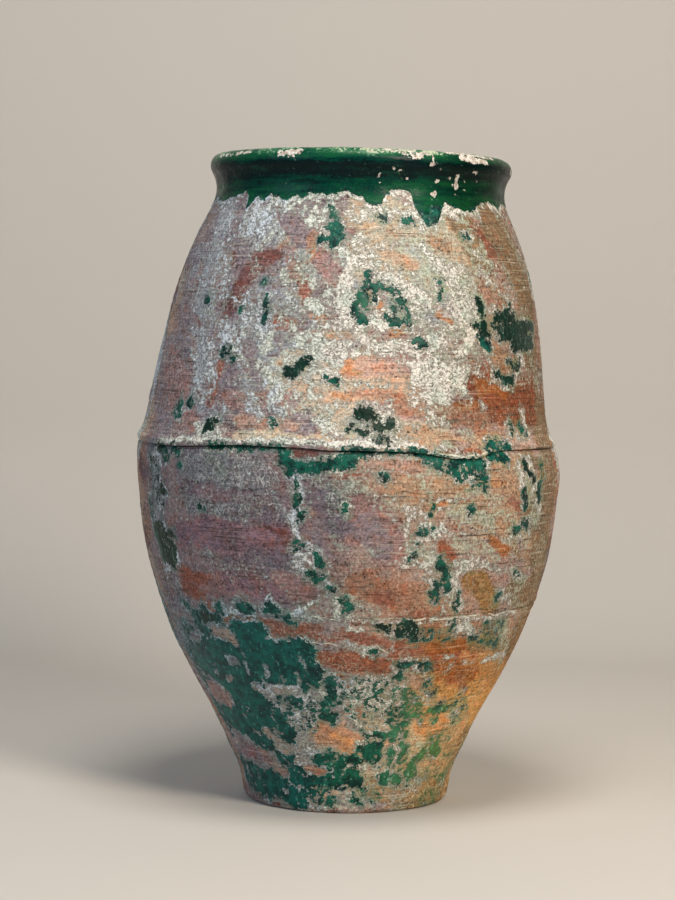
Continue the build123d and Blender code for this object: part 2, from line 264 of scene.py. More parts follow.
# The white slip
WHITE = [
    # shoulder, left
    (-41, 866, -33, 858, 9, 0.3), (-33, 868, -22, 862, 8, 0.2), (-42, 842, -33, 832, 14, 0.2),
    (-37, 812, -33, 798, 10, 0.1), (-30, 838, -26, 830, 9, 0.2), (-17.5, 852, -16.5, 846, 8, 0.7),
    (-14.5, 862, -12.5, 830, 6, 0.3), (-24, 868, -12, 862, 6, 0.3), (-60, 880, -50, 800, 20, -0.15),
    (-48, 780, -44, 720, 18, -0.05), (-58, 760, -52, 690, 16, -0.15), (-24, 775, -22, 762, 6, 0.5),
    (-37, 745, -31, 700, 14, 0.15), (-28, 724, -25.5, 672, 11, 0.55), (-34, 716, -32, 690, 8, 0.4),
    (-41, 692, -35, 672, 11, 0.35), (-35, 660, -31, 640, 7, 0.2), (-53, 660, -51, 655, 6, 0.5),
    (-45, 672, -43, 625, 7, 0.15), (-49, 640, -45, 600, 10, 0.05), (-22.5, 645, -20.5, 596, 9, 0.35),
    (-26, 648, -23, 610, 8, 0.1), (-28, 592, -24, 578, 5, 0.5), (-21, 588, -17.5, 578, 7, 0.6),
    (-17.5, 694, -14, 676, 9, 0.4), (-14, 688, -3, 676, 11, 0.6), (-11, 668, -3, 655, 12, 0.85),
    (-10, 648, -4, 636, 8, 0.6), (-19, 665, -16, 655, 6, 0.5), (-20, 625, -19, 600, 6, 0.6),
    (-16, 620, -10, 608, 8, 0.1), (-12, 700, -8, 706, 6, 0.2), (-20, 742, -16, 736, 5, 0.4),
    (-14, 735, -10, 722, 8, 0.4), (-4.5, 802, -3.5, 770, 9, 0.5), (-4, 765, -2.5, 705, 12, 0.75),
    (-9, 780, -7, 735, 6, 0.1), (-32, 620, -28, 600, 8, -0.1), (-41.5, 655, -41, 595, 2, 0.5),
    # shoulder, right
    (-4, 860, 3, 845, 9, 0.15), (4, 868, 14, 862, 7, 0.2), (19.5, 862, 22, 845, 5, 0.7),
    (32, 866, 36, 856, 6, 0.5), (17, 842, 22, 838, 6, 0.5), (0, 815, 5, 790, 10, 0.25),
    (0, 790, 6, 770, 9, 0.6), (6, 768, 20, 752, 8, 0.5), (8, 750, 18, 744, 6, 0.4),
    (19, 748, 23, 730, 8, 0.6), (21, 812, 24, 800, 6, 0.4), (25, 790, 34, 778, 10, 0.25),
    (29, 772, 36, 735, 12, 0.35), (31, 730, 36, 700, 11, 0.3), (36, 790, 39, 745, 7, 0.15),
    (6, 712, 18, 728, 9, 0.3), (0, 712, 8, 706, 7, 0.7), (0, 690, 10, 672, 9, 0.7),
    (0, 664, 8, 664, 5, 0.6), (14, 712, 28, 700, 9, 0.2), (12, 672, 26, 682, 12, 0.35),
    (13, 655, 20, 652, 7, 0.6), (21, 664, 31, 664, 8, 0.1), (20, 636, 30, 632, 20, 1),
    (22, 608, 27, 606, 12, 0.9), (31, 644, 38.5, 643, 5, 0.5), (32, 618, 34.5, 606, 5, 0.4),
    (34, 668, 38, 690, 10, 0.7), (-2, 623, 6, 620, 2.5, 0.7), (6, 618, 15, 610, 2, 0.5),
    (10, 608, 16, 600, 3, 0.3), (23, 575, 27, 568, 6, 0.1), (38, 604, 40, 592, 3, 0.3),
    (0, 592, 9, 591, 3, 0.9), (10, 589, 12.5, 574, 3.5, 0.8), (13, 562, 13.5, 558, 4, 0.7),
    (-7, 590, -3, 586, 4, 0.6), (-8, 572, -4, 556, 9, 0.35), (0, 556, 9, 556, 4, 0.5),
    (40.5, 676, 44, 645, 4, 0.8), (44.5, 630, 47, 622, 4, 0.9), (48, 616, 53, 614, 4, 0.9),
    (54, 626, 57, 640, 5, 0.6), (38, 730, 40, 700, 4, 0.4), (44, 722, 47, 728, 4, 0.6),
    (56, 668, 60, 650, 6, 0.4), (49, 572, 48.5, 545, 4, 0.8), (52, 555, 53, 545, 3, 0.5),
    (57, 600, 59, 545, 6, 0.1), (44, 870, 50, 862, 8, 0.2), (52, 868, 60, 830, 12, -0.4),
    (56, 820, 62, 760, 12, -0.4), (41, 815, 43, 800, 6, -0.1), (-12, 625, 16, 580, 46, -0.02),
    (-5, 760, 30, 700, 60, -0.3), (42, 780, 45, 765, 7, 0.1), (50, 745, 58, 740, 8, -0.1),
    (-44, 553, -36, 552, 6, 0.8), (-45, 563, -43, 556, 4, 0.8), (-36, 590, -35.5, 558, 3, 0.4),
    # the pale band along the ridge, slip that is partly a painted highlight on the lip
    (-60, 538, -40, 540, 4.5, 0.8), (-40, 543, -24, 545, 4, 0.8), (-24, 544, -6, 542, 4.5, 0.9),
    (-6, 541, 8, 538, 6, 1), (8, 538, 20, 536, 4.5, 0.9), (20, 538, 27, 532, 2.5, 0.5),
    (-12, 513, 0, 526, 1.5, 0.9), (-31, 533, -27, 530, 4, 0.5),
    # belly
    (-14.4, 440, -13, 408, 8, 0.7), (-15.2, 400, -13, 366, 8, 0.15), (-14.5, 470, -13.4, 444, 5, 0.3),
    (-12, 384, -9.6, 372, 5, 0.4), (-8.5, 398, -6.5, 384, 2, 0.8), (-6, 372, -5.6, 350, 2, 0.6),
    (-15.5, 300, -9.5, 322, 4, 0.9), (-9, 322, -8, 350, 3, 0.5), (-5, 334, -3, 300, 7, 0.2),
    (-12.5, 480, -12.3, 440, 3, 0.2), (14.5, 458, 18, 444, 6, 0.1), (22.5, 453, 26, 452, 3.5, 0.6),
    (19.5, 434, 25, 428, 5, 0.4), (18, 412, 24.5, 414, 6, 0.4), (22, 420, 26, 420, 5, 0.5),
    (15, 378, 26, 376, 5, 0.35), (14.5, 455, 15.5, 405, 4, 0.2), (20, 440, 24, 408, 9, 0.0),
    (17, 398, 24, 386, 12, -0.2), (31, 380, 40, 370, 5, 0.3), (18, 374, 23.5, 366, 2.5, 0.8),
    (22.5, 384, 24.5, 378, 4, 0.6), (21.5, 356, 25, 338, 4, 0.5), (29.5, 378, 31, 360, 4, 0.4),
    (32, 368, 41, 367, 5, 0.4), (30.2, 355, 33, 310, 8, 0.3), (28.8, 336, 27.8, 304, 2, 0.5),
    (44, 361, 49, 361, 4, 0.2), (49.5, 510, 51, 478, 6, 0.35), (55, 512, 58, 480, 8, 0.2),
    (57, 470, 61, 440, 8, 0.1), (47, 408, 53, 434, 4, 0.3), (47.5, 412, 52, 406, 4, 0.3),
    (55, 420, 57, 414, 5, 0.1), (-63, 530, -62, 440, 3, 0.3), (-59, 520, -58.5, 470, 1.8, 0.5),
    (-56.5, 528, -56, 500, 1.5, 0.4), (-67, 470, -63, 340, 8, -0.1), (-55, 515, -54, 522, 1.5, 1),
    (-55, 390, -53, 366, 3, 0.5), (50, 326, 56, 316, 7, 0.0), (18, 466, 30, 463, 1.3, 0.4),
    (5, 472, 16, 469, 1.2, 0.2), (26, 419, 40, 418, 1.1, 0.3),
    # along the lower seam
    (-39, 301, -33, 300, 3.5, 0.9), (-38, 296, -34, 297, 3, 0.8), (0, 297, 8, 293, 3.5, 0.9),
    (8, 296, 24, 293, 2.6, 1), (24, 294, 44, 295, 3, 1), (36, 286, 40, 276, 7, 0.3),
    (30, 290, 35, 284, 7, 0.4), (44, 294, 60, 292, 3, 0.7), (0, 284, 4, 280, 3, 0.5),
    (-13, 298, -8, 296, 3, 0.4),
    # lower drum
    (-38, 280, -33, 282, 2, 0.6), (-33, 283, -27, 284, 1.8, 0.7), (-26, 274, -23, 264, 2.5, 0.8),
    (-23, 263, -11, 264, 3, 0.6), (0, 262, 8, 244, 5, 0.35), (6, 256, 10, 257, 3, 0.8),
    (6, 244, 11, 244, 2.5, 0.8), (13, 258, 14, 252, 3, 0.7), (13, 236, 22, 240, 2.5, 0.5),
    (14, 228, 15, 219, 4.5, 0.9), (21.5, 232, 23.5, 224, 4.5, 0.8), (32.8, 236, 36.5, 234, 3, 0.8),
    (37, 230, 35, 217, 3, 0.8), (32.8, 232, 33, 224, 2, 0.7), (41, 224, 45, 221, 4, 0.9),
    (52, 222, 58, 228, 4, 0.7), (58, 228, 66, 224, 4, 0.3), (2, 204, 10, 208, 5, 0.5),
    (1, 194, 9, 186, 9, 0.65), (6, 180, 14, 168, 9, 0.55), (3, 152, 5, 140, 5, 0.3),
    (-1, 196, 2, 182, 5, 0.6), (-2, 172, -1, 160, 3, 0.5), (14, 190, 18, 170, 7, 0.2),
    (17, 150, 16, 130, 4, 0.1), (-33, 186, -28, 183, 5, 0.9), (-27, 192, -18, 192, 3, 0.5),
    (-19, 192, -12, 200, 6, 0.0), (-18, 172, -10, 160, 12, 0.4), (-22, 150, -14, 135, 10, 0.45),
    (-13, 204, -10, 196, 6, 0.3), (-19, 95, -11, 92, 6, 0.35), (-30, 88, -22, 78, 8, -0.1),
    (0, 69, 9, 70, 3.5, 0.9), (16.5, 60, 18, 54, 3.5, 0.6), (21, 112, 23.5, 110, 4, 0.6),
    (23.8, 100, 23.4, 64, 2, 0.5), (-25, 50, -20, 42, 2.5, 0.6), (38, 36, 42, 29, 6, 0.15),
    (-58, 52, -46, 30, 10, 0.0), (-48, 24, -38, 20, 6, 0.1), (-30, 12, -12, 8, 4, 0.1),
    (13, 116, 17, 112, 4, 0.2), (-10, 236, -8, 210, 7, -0.05), (-54, 170, -51, 190, 3, 0.3),
    (-52, 112, -48, 100, 3, 0.3), (48, 184, 56, 196, 3, -0.1), (10, 80, 15, 84, 5, 0.0),
    (-10, 185, -8, 176, 5, 0.2),
]

# The thin haze over the clay
HAZE = [
    # a thin pale blue-green film
    (-58, 860, -50, 700, 26, 0.6), (-42, 860, -30, 830, 24, 0.5), (-50, 690, -46, 630, 20, 1),
    (-48, 610, -44, 590, 16, 0.5), (-30, 720, -24, 660, 20, 0.6), (-30, 625, -27, 600, 14, 0.5),
    (-22, 740, -6, 690, 16, 0.3), (-4, 800, 2, 700, 14, 0.5), (6, 765, 22, 750, 14, 0.7),
    (12, 735, 34, 700, 24, 0.7), (34, 700, 38, 668, 12, 0.9), (29.5, 552, 35, 552, 9, 1),
    (2, 574, 12, 560, 14, 0.8), (20, 640, 30, 630, 18, 0.3), (18, 800, 36, 730, 34, 0.6),
    (50, 870, 64, 780, 24, 0.7), (4, 860, 30, 840, 20, 0.3), (36, 870, 46, 780, 20, 0.3),
    (0, 545, 16, 541, 8, 0.4), (41, 540, 46, 536, 8, 0.7), (-44, 600, -36, 560, 14, 0.3),
    (22, 690, 28, 660, 16, 0.3), (-45, 503, -22, 497, 26, 0.8), (-33, 500, -29, 480, 14, 0.9),
    (-9, 496, -3, 456, 16, 0.5), (-21, 462, -17, 442, 12, 1), (-46, 452, -32, 442, 18, 0.5),
    (-30, 455, -22, 470, 14, 0.5), (-42, 385, -36, 370, 14, 0.4), (-38, 330, -30, 320, 14, 0.3),
    (-14, 500, -12, 440, 6, 0.6), (-16, 390, -12, 350, 10, 0.7), (-8, 350, -2, 310, 14, 0.7),
    (18, 496, 21, 470, 10, 0.9), (8, 520, 24, 500, 14, 0.5), (28, 450, 40, 432, 18, 0.7),
    (30, 405, 44, 384, 14, 0.5), (14, 400, 24, 385, 14, 0.7), (32, 366, 42, 366, 8, 0.8),
    (29, 360, 33, 310, 10, 0.7), (0, 470, 12, 440, 20, 0.3), (50, 500, 60, 430, 16, 0.5),
    (52, 360, 60, 340, 12, 0.4), (-62, 500, -58, 330, 16, 0.5), (6, 395, 12, 385, 10, 0.3),
    (44, 440, 48, 425, 12, 0.4), (-4, 430, -2, 400, 6, 0.5), (-14, 240, -8, 196, 12, 0.9),
    (-24, 180, -8, 135, 22, 0.7), (-36, 112, -18, 90, 16, 0.6), (-60, 60, -45, 20, 20, 0.8),
    (0, 250, 10, 246, 8, 0.7), (0, 190, 14, 160, 18, 0.4), (20, 220, 28, 200, 12, 0.3),
    (28, 180, 31, 170, 8, 0.8), (36, 290, 42, 270, 12, 0.8), (46, 150, 55, 125, 12, 0.5),
    (34, 100, 46, 80, 12, 0.4), (0, 30, 14, 16, 10, 0.5), (26, 120, 24, 60, 8, 0.4),
    (-28, 60, -8, 44, 12, 0.3), (-20, 300, 0, 296, 10, 0.7), (54, 280, 66, 220, 16, 0.4),
]

# Kinds of clay colour, as they look in plain light
CLAY = {
    "mauve": (0.262, 0.205, 0.222),
    "slate": (0.190, 0.160, 0.190),
    "plum": (0.275, 0.175, 0.205),
    "rose": (0.335, 0.205, 0.195),
    "sand": (0.500, 0.415, 0.315),
    "peach": (0.530, 0.345, 0.235),
    "brick": (0.370, 0.190, 0.125),
    "sienna": (0.290, 0.092, 0.045),
    "amber": (0.500, 0.270, 0.110),
    "tan": (0.450, 0.285, 0.185),
    "pink": (0.460, 0.290, 0.230),
    "orange": (0.520, 0.250, 0.125),
    "rust": (0.360, 0.125, 0.035),
    "red": (0.310, 0.120, 0.082),
    "dark_red": (0.175, 0.072, 0.066),
    "brown": (0.270, 0.180, 0.105),
    "ochre": (0.310, 0.170, 0.060),
    "cream": (0.640, 0.520, 0.380),
}

# Patches of those colours: the kind, then the stroke's two ends and its half width
TINTS = [
    ("cream", -14, 632, 12, 566, 48), ("sand", 2, 862, 32, 834, 34), ("sand", 2, 790, 34, 775, 36),
    ("brown", 38, 866, 46, 800, 26), ("brown", 54, 864, 68, 750, 50), ("brown", 42, 745, 52, 735, 16),
    ("tan", 20, 500, 60, 440, 60), ("peach", 2, 645, 15, 600, 30), ("sand", -20, 640, -4, 585, 24),
    ("rose", 4, 585, 20, 575, 14), ("sand", 4, 566, 26, 552, 16), ("tan", 30, 150, 70, 60, 90),
    ("brown", 64, 860, 72, 60, 36), ("brown", 52, 600, 80, 560, 40), ("sienna", 20, 250, 52, 200, 36),
    ("amber", 50, 230, 70, 160, 50), ("amber", 26, 196, 50, 150, 24), ("brown", 4, 40, 60, 14, 26),
    ("pink", -10, 130, 6, 100, 26), ("pink", 5, 160, 16, 150, 20), ("mauve", -28, 862, -17, 812, 28),
    ("rose", -12, 800, -6, 765, 18), ("dark_red", -41, 722, -36, 780, 17),
    ("dark_red", -34, 788, -27, 806, 14), ("brick", -27, 818, -25, 824, 8),
    ("brick", -15.5, 824, -15, 796, 9), ("orange", -15, 816, -14.5, 806, 4),
    ("red", -21, 800, -19, 770, 10), ("red", -16, 758, -15, 738, 10), ("orange", -12, 716, -9, 712, 7),
    ("red", -25, 715, -18, 704, 12), ("red", -52, 775, -49, 765, 7), ("dark_red", -45, 800, -44, 790, 8),
    ("dark_red", -54, 712, -50, 696, 8), ("peach", -11, 694, 2, 688, 7), ("orange", -2, 652, 0, 645, 8),
    ("peach", -8, 606, 4, 606, 10), ("peach", -18, 622, -8, 606, 13), ("orange", -4, 610, 0, 604, 7),
    ("red", -40, 650, -41, 590, 7), ("slate", -58, 650, -54, 600, 20), ("red", -50, 575, -46, 555, 12),
    ("rose", -36, 600, -16, 600, 14), ("rose", -46, 560, -34, 556, 12), ("rose", -64, 640, -52, 580, 30),
    # the cream stroke from -30 to -5 degrees at about 550 mm is a painted highlight on the lip's upper
    # slope
    ("red", -26, 604, -18, 598, 5), ("pink", -30, 572, -14, 562, 10), ("cream", -30, 552, -5, 549, 6),
    ("orange", -8, 562, -6, 556, 6), ("peach", 9, 804, 17, 786, 9), ("orange", 3.5, 742, 8, 728, 7),
    ("tan", 22, 824, 31, 812, 9), ("sand", 4, 842, 22, 840, 12), ("red", 45, 840, 51, 806, 11),
    ("red", 49, 800, 52, 780, 9), ("orange", 25, 730, 29, 708, 9), ("pink", 42, 748, 50, 728, 13),
    ("orange", 37, 694, 39, 686, 7), ("orange", 11, 698, 14, 698, 8), ("tan", 45, 672, 53, 646, 13),
    ("pink", 2, 655, 12, 650, 6), ("pink", 0, 640, 12, 642, 9), ("orange", -2, 645, 2, 640, 6),
    ("brick", 2, 612, 14, 604, 7), ("rust", 31, 594, 41, 590, 11), ("sienna", 36, 630, 66, 608, 24),
    ("rust", 38, 622, 48, 612, 14), ("sienna", 42, 590, 64, 575, 20), ("brick", 14, 592, 40, 570, 14),
    ("tan", 14, 555, 26, 548, 10), ("tan", 36, 548, 44, 550, 8), ("dark_red", -15.5, 529, -8.5, 525, 8),
    ("sienna", 26, 531, 37, 527, 6), ("red", 25, 528, 37, 525, 5), ("tan", 26, 548, 40, 540, 8),
    # belly
    ("slate", -40, 480, -20, 380, 60), ("rose", 2, 450, 10, 400, 34), ("mauve", 4, 430, 8, 400, 20),
    ("slate", -11, 500, -3, 440, 26), ("mauve", -9, 424, -5.5, 396, 14),
    ("plum", -50, 410, -18, 405, 24), ("rose", -20, 505, -17, 495, 10), ("plum", -24, 500, -17, 490, 9),
    ("plum", -42, 470, -22, 462, 9), ("dark_red", -22, 420, -17, 418, 5),
    ("dark_red", -21, 402, -16, 397, 4), ("rose", -54, 350, -30, 335, 20),
    ("red", -54, 352, -44, 346, 10), ("red", -52, 330, -47, 318, 10), ("plum", -34, 345, -18, 330, 18),
    ("rose", -18, 350, -10, 334, 16), ("red", -2, 500, 4, 494, 9), ("pink", 6, 520, 20, 505, 14),
    ("orange", 22, 470, 30, 455, 12), ("sienna", 26, 402, 28, 384, 9), ("brick", 3, 345, 24, 316, 28),
    ("red", 8, 330, 12, 325, 12), ("red", 14, 300, 22, 300, 8), ("amber", 36, 350, 40, 340, 12),
    ("ochre", 37, 342, 45, 316, 20), ("ochre", 36, 350, 40, 346, 14), ("rust", 41, 402, 47, 388, 11),
    ("ochre", 50, 396, 54, 382, 9), ("tan", 48, 470, 60, 380, 24), ("tan", 36, 492, 48, 476, 14),
    ("orange", 40, 486, 44, 482, 6), ("red", 48, 456, 52, 440, 9), ("brown", 56, 520, 66, 500, 16),
    ("brown", 60, 440, 72, 330, 30), ("tan", 10, 480, 34, 474, 12), ("red", 29, 440, 30, 420, 8),
    ("brown", 54, 330, 66, 310, 20),
    # lower drum
    ("red", -38, 289, -8, 284, 7), ("red", -22, 276, -8, 272, 8), ("pink", -44, 268, -37, 262, 12),
    ("red", -46, 306, -40, 304, 6), ("red", 2, 272, 11, 262, 11), ("red", 0, 294, 6, 290, 6),
    ("red", -6, 262, 0, 280, 8), ("sienna", -7, 236, 12, 226, 17), ("rust", -4, 212, -1, 202, 9),
    ("rust", 22, 256, 36, 254, 14), ("red", 14, 250, 22, 250, 9), ("rust", 34, 220, 48, 206, 16),
    ("orange", 40, 236, 46, 232, 10), ("rust", 42, 246, 45, 238, 7), ("pink", 19, 208, 28, 194, 13),
    ("dark_red", 48, 282, 54, 262, 12), ("tan", 34, 172, 38, 170, 8), ("brick", -11, 127, 5, 106, 20),
    ("orange", -5, 118, 3, 111, 7), ("orange", -2, 96, 3, 90, 8), ("pink", 14, 130, 19, 96, 9),
    ("red", -18, 66, -12, 68, 8), ("rose", -60, 172, -54, 166, 16), ("plum", -57, 84, -48, 82, 9),
    ("rose", -42, 84, -33, 64, 10), ("pink", -36, 118, -29, 92, 10), ("pink", -28, 190, -20, 186, 8),
    ("pink", -20, 34, 2, 30, 8), ("mauve", -28, 28, -18, 22, 8), ("red", 1, 176, 4, 152, 8),
    ("orange", 31, 134, 42, 120, 12), ("orange", 30, 148, 44, 142, 9), ("mauve", 0, 20, 20, 10, 8),
    ("dark_red", -50, 10, -6, 4, 5), ("brown", 44, 250, 60, 244, 14),
]

# Lower edge of the glaze that hangs from the rim: angle and height
GLAZE_EDGE = [
    (-180, 884), (-168, 872), (-158, 890), (-146, 878), (-133, 862), (-124, 884), (-112, 874),
    (-100, 888), (-88, 878), (-76, 890), (-66, 882), (-60, 885), (-52, 890), (-50, 896), (-48, 886),
    (-46.6, 871), (-45.4, 872), (-43.5, 888), (-40, 880), (-36, 887), (-33.5, 884), (-30.5, 880),
    (-28.5, 876), (-26, 885), (-23, 880), (-20, 888), (-15, 885), (-10, 885), (-6, 890), (-3, 886),
    (0, 881), (2, 873), (7, 872), (8.3, 881), (10, 889), (14, 895), (17, 893), (19, 888), (19.8, 874),
    (20.8, 862), (22, 847), (24, 842), (27.5, 844), (29.3, 856), (31, 868), (33, 877), (35, 870),
    (38, 868), (41, 865), (44, 864), (47, 868), (50, 876), (54, 879), (58, 882), (66, 874), (78, 886),
    (88, 876), (97, 856), (104, 850), (110, 872), (122, 884), (136, 878), (148, 890), (160, 874),
    (170, 880), (180, 884),
]

# Chips in the rim's glaze: strokes as above
CHIPS = [
    (5.6, 910, 6.6, 916, 1.6, 1), (6.3, 902, 6.8, 903, 1.4, 1), (11, 924, 12, 921, 1.5, 0.8),
    (13.5, 919, 14.5, 921, 1.2, 0.8), (16.5, 909, 17.2, 909, 1.3, 1), (25.8, 929, 27.6, 931, 3, 1),
    (26.4, 934, 26.4, 944, 1.4, 1), (29.2, 906, 29.9, 908, 2.2, 1), (29.8, 923, 30.4, 922, 1.4, 1),
    (27.4, 888, 29, 890, 3, 1), (28.4, 884, 29, 883, 1.4, 1), (34.6, 912, 35.4, 911, 2, 1),
    (38.3, 914, 38.8, 898, 3.6, 1), (37, 903, 37.4, 900, 2, 0.9), (42.3, 909, 42.8, 907, 1.8, 1),
    (42.8, 897, 43.2, 896, 1.3, 1), (38.2, 889, 40, 888.5, 1.2, 1), (45.8, 922, 48, 921, 1.6, 1),
    (49, 912, 49.6, 909, 1.4, 0.9), (-25.6, 935, -25, 934, 1.3, 0.8), (39, 941, 53, 937, 4, 1),
    (44, 936, 47, 935, 3, 0.7), (-55, 947, -47, 948, 2.5, 0.5), (-32, 944, -23, 946, 4, 0.55),
    (-28, 938, -26, 940, 2, 0.5), (14, 944, 24, 943, 3.5, 0.45), (17, 938, 22, 938, 2, 0.2),
    (33, 948, 60, 944, 2, 0.7), (-70, 947, -58, 946, 2, 0.3), (2, 947, 14, 947, 2, 0.2),
    (95, 940, 104, 942, 4, 0.8), (140, 944, 158, 946, 3, 0.5), (-120, 941, -110, 944, 4, 0.8),
    (-160, 946, -145, 945, 3, 0.5), (120, 912, 122, 905, 3, 0.9), (-98, 916, -97, 908, 3, 0.9),
    (-140, 925, -138, 922, 2, 0.9), (165, 918, 166, 914, 2, 0.9), (78, 930, 80, 927, 3, 0.9),
    (86, 908, 87, 904, 2, 0.9),
]

# On the sides that the photograph doesn't show: how rare the glaze and the slip are at each height
GREEN_RARE = [
    (0, 0.30), (80, 0.45), (250, 0.30), (300, 0.75), (480, 0.85), (505, 0.45), (531, 0.35), (536, 0.95),
    (840, 0.85), (880, 0.6),
]
WHITE_RARE = [
    (0, 0.35), (240, 0.55), (290, 0.20), (330, 0.75), (500, 0.70), (536, 0.25), (590, 0.30),
    (660, -0.05), (880, -0.10),
]
# The kinds of colour there, which noise places
TINTS_BACK = ["red", "orange", "tan", "dark_red", "peach", "slate", "rust", "sand"]

# Places where the clay is clean of haze and slip, then where the glaze is palest and where it is darkest
CLEAN = [
    (0, 645, 14, 640, 15), (4, 656, 10, 656, 7), (-5, 608, 14, 608, 9), (14, 590, 22, 545, 16),
    (22, 560, 30, 548, 8), (37, 622, 44, 600, 16), (46, 606, 64, 600, 14), (46, 672, 51, 650, 12),
    (-9, 690, -1, 686, 5), (10, 700, 14, 697, 6), (24.5, 722, 29, 710, 6), (44, 748, 50, 732, 12),
    (3, 838, 19, 838, 9), (9, 800, 18, 790, 10), (-40, 800, -38, 752, 12), (-35, 800, -27, 795, 9),
    (-45, 728, -43, 722, 8), (-41, 730, -38, 714, 8), (-57, 712, -52, 700, 6), (-25, 850, -18, 820, 14),
    (-12, 795, -7, 768, 12), (-16, 822, -15, 806, 5), (-16, 752, -15, 742, 6), (48, 835, 51, 806, 12),
    (34, 845, 42, 822, 12), (4.5, 738, 6.5, 730, 5), (54, 860, 66, 760, 24), (-48, 412, -18, 404, 24),
    (-52, 340, -36, 335, 18), (-30, 342, -20, 330, 12), (-8, 470, -6, 410, 10), (3, 450, 11, 400, 22),
    (3, 345, 20, 320, 20), (37, 350, 44, 316, 18), (42, 402, 46, 390, 9), (25, 400, 28, 386, 8),
    (36, 492, 47, 476, 14), (4, 520, 18, 508, 8), (-15, 350, -11, 334, 10), (-7, 238, 12, 226, 13),
    (15, 252, 38, 252, 12), (34, 214, 50, 200, 18), (-10, 124, 4, 107, 16), (30, 140, 44, 118, 14),
    (-44, 270, -38, 264, 9), (-37, 290, -12, 285, 5), (2, 272, 11, 264, 8), (-58, 168, -54, 168, 14),
    (-18, 68, -12, 66, 7), (28, 90, 31, 60, 6), (19, 208, 30, 192, 10), (54, 200, 64, 60, 20),
    (-55, 90, -50, 84, 10), (2, 176, 5, 158, 6), (14, 130, 18, 100, 6),
]
PALE_GLAZE = [
    (-10, 862, -9, 854, 6), (20, 185, 32, 140, 24), (33, 100, 60, 50, 50), (18, 130, 24, 50, 14),
    (1.5, 738, 3, 726, 8), (30, 552, 34, 552, 8), (21, 180, 26, 160, 10), (36, 90, 58, 100, 30),
    (40, 157, 52, 140, 10),
]
DARK_GLAZE = [
    (42, 740, 62, 690, 50), (46, 645, 58, 630, 20), (-18, 645, -10, 650, 18), (3, 584, 10, 560, 24),
    (-62, 520, -58, 360, 24), (-50, 290, -44, 288, 10), (-41, 565, -37, 560, 10), (52, 510, 60, 420, 20),
    (8, 290, 20, 280, 12),
]


# How a point far outside every stroke counts
FAR = -1.5


def strokes(angle, height, rows, soft, width_change=0):
    """How far inside the strokes each point lies: from FAR outside to each stroke's own fullness.

    A row without a fullness is whole.
    """
    best = np.full(np.shape(angle), FAR)
    for a0, z0, a1, z1, width, *full in rows:
        degree = math.radians(1) * float(curve(WALL_LINE, min((z0 + z1) / 2, NECK_SEAM)))
        x = ((angle - a0 + 180) % 360 - 180) * degree
        y = height - z0
        dx, dy = (a1 - a0) * degree, z1 - z0
        along = np.clip((x * dx + y * dy) / (dx * dx + dy * dy + 1e-6), 0, 1)
        away = np.hypot(x - along * dx, y - along * dy)
        best = np.maximum(best, np.minimum((width + width_change - away) / soft, *(full or [1])))
    return best


def mix(colour, other, share):
    """A colour at every point, moved a share of the way to another one."""
    share = share[..., None]
    return colour * (1 - share) + np.array(other) * share


def clay_colour(angle, height, a, z, behind):
    """The clay's firing colours: the side's own, pinker on the right partly as painted warm light, drifts
    across it, and then each patch.
    """
    clay = np.empty(np.shape(angle) + (3,))
    clay[:] = CLAY["mauve"]
    # pinker on the right side: partly the clay's own colour and partly painted warm light
    warm = ramp(angle + 14 * lattice(angle, height, 60, 171), -12, 14) * ramp(-angle, -178, -120)
    clay = mix(clay, CLAY["pink"], 0.75 * warm)
    drift = layered(angle, height, 120, 181, 2)
    clay = mix(clay, CLAY["tan"], 0.35 * ramp(drift, 0.1, 0.7) * (0.3 + 0.7 * warm))
    clay = mix(clay, CLAY["slate"], 0.35 * ramp(-drift, 0.1, 0.7))
    for number, kind in enumerate(TINTS_BACK):
        share = ramp(layered(angle, height, 70, 601 + 10 * number, 4), 0.42, 0.75)
        clay = mix(clay, CLAY[kind], 0.85 * behind * share)
    blotch = 0.55 * layered(angle, height, 26, 191, 3)
    for kind, *stroke, width in TINTS:
        share = strokes(a, z, [(*stroke, width)], 0.45 * width + 2) + blotch
        clay = mix(clay, CLAY[kind], 0.92 * ramp(share, -0.1, 0.4))
    return clay


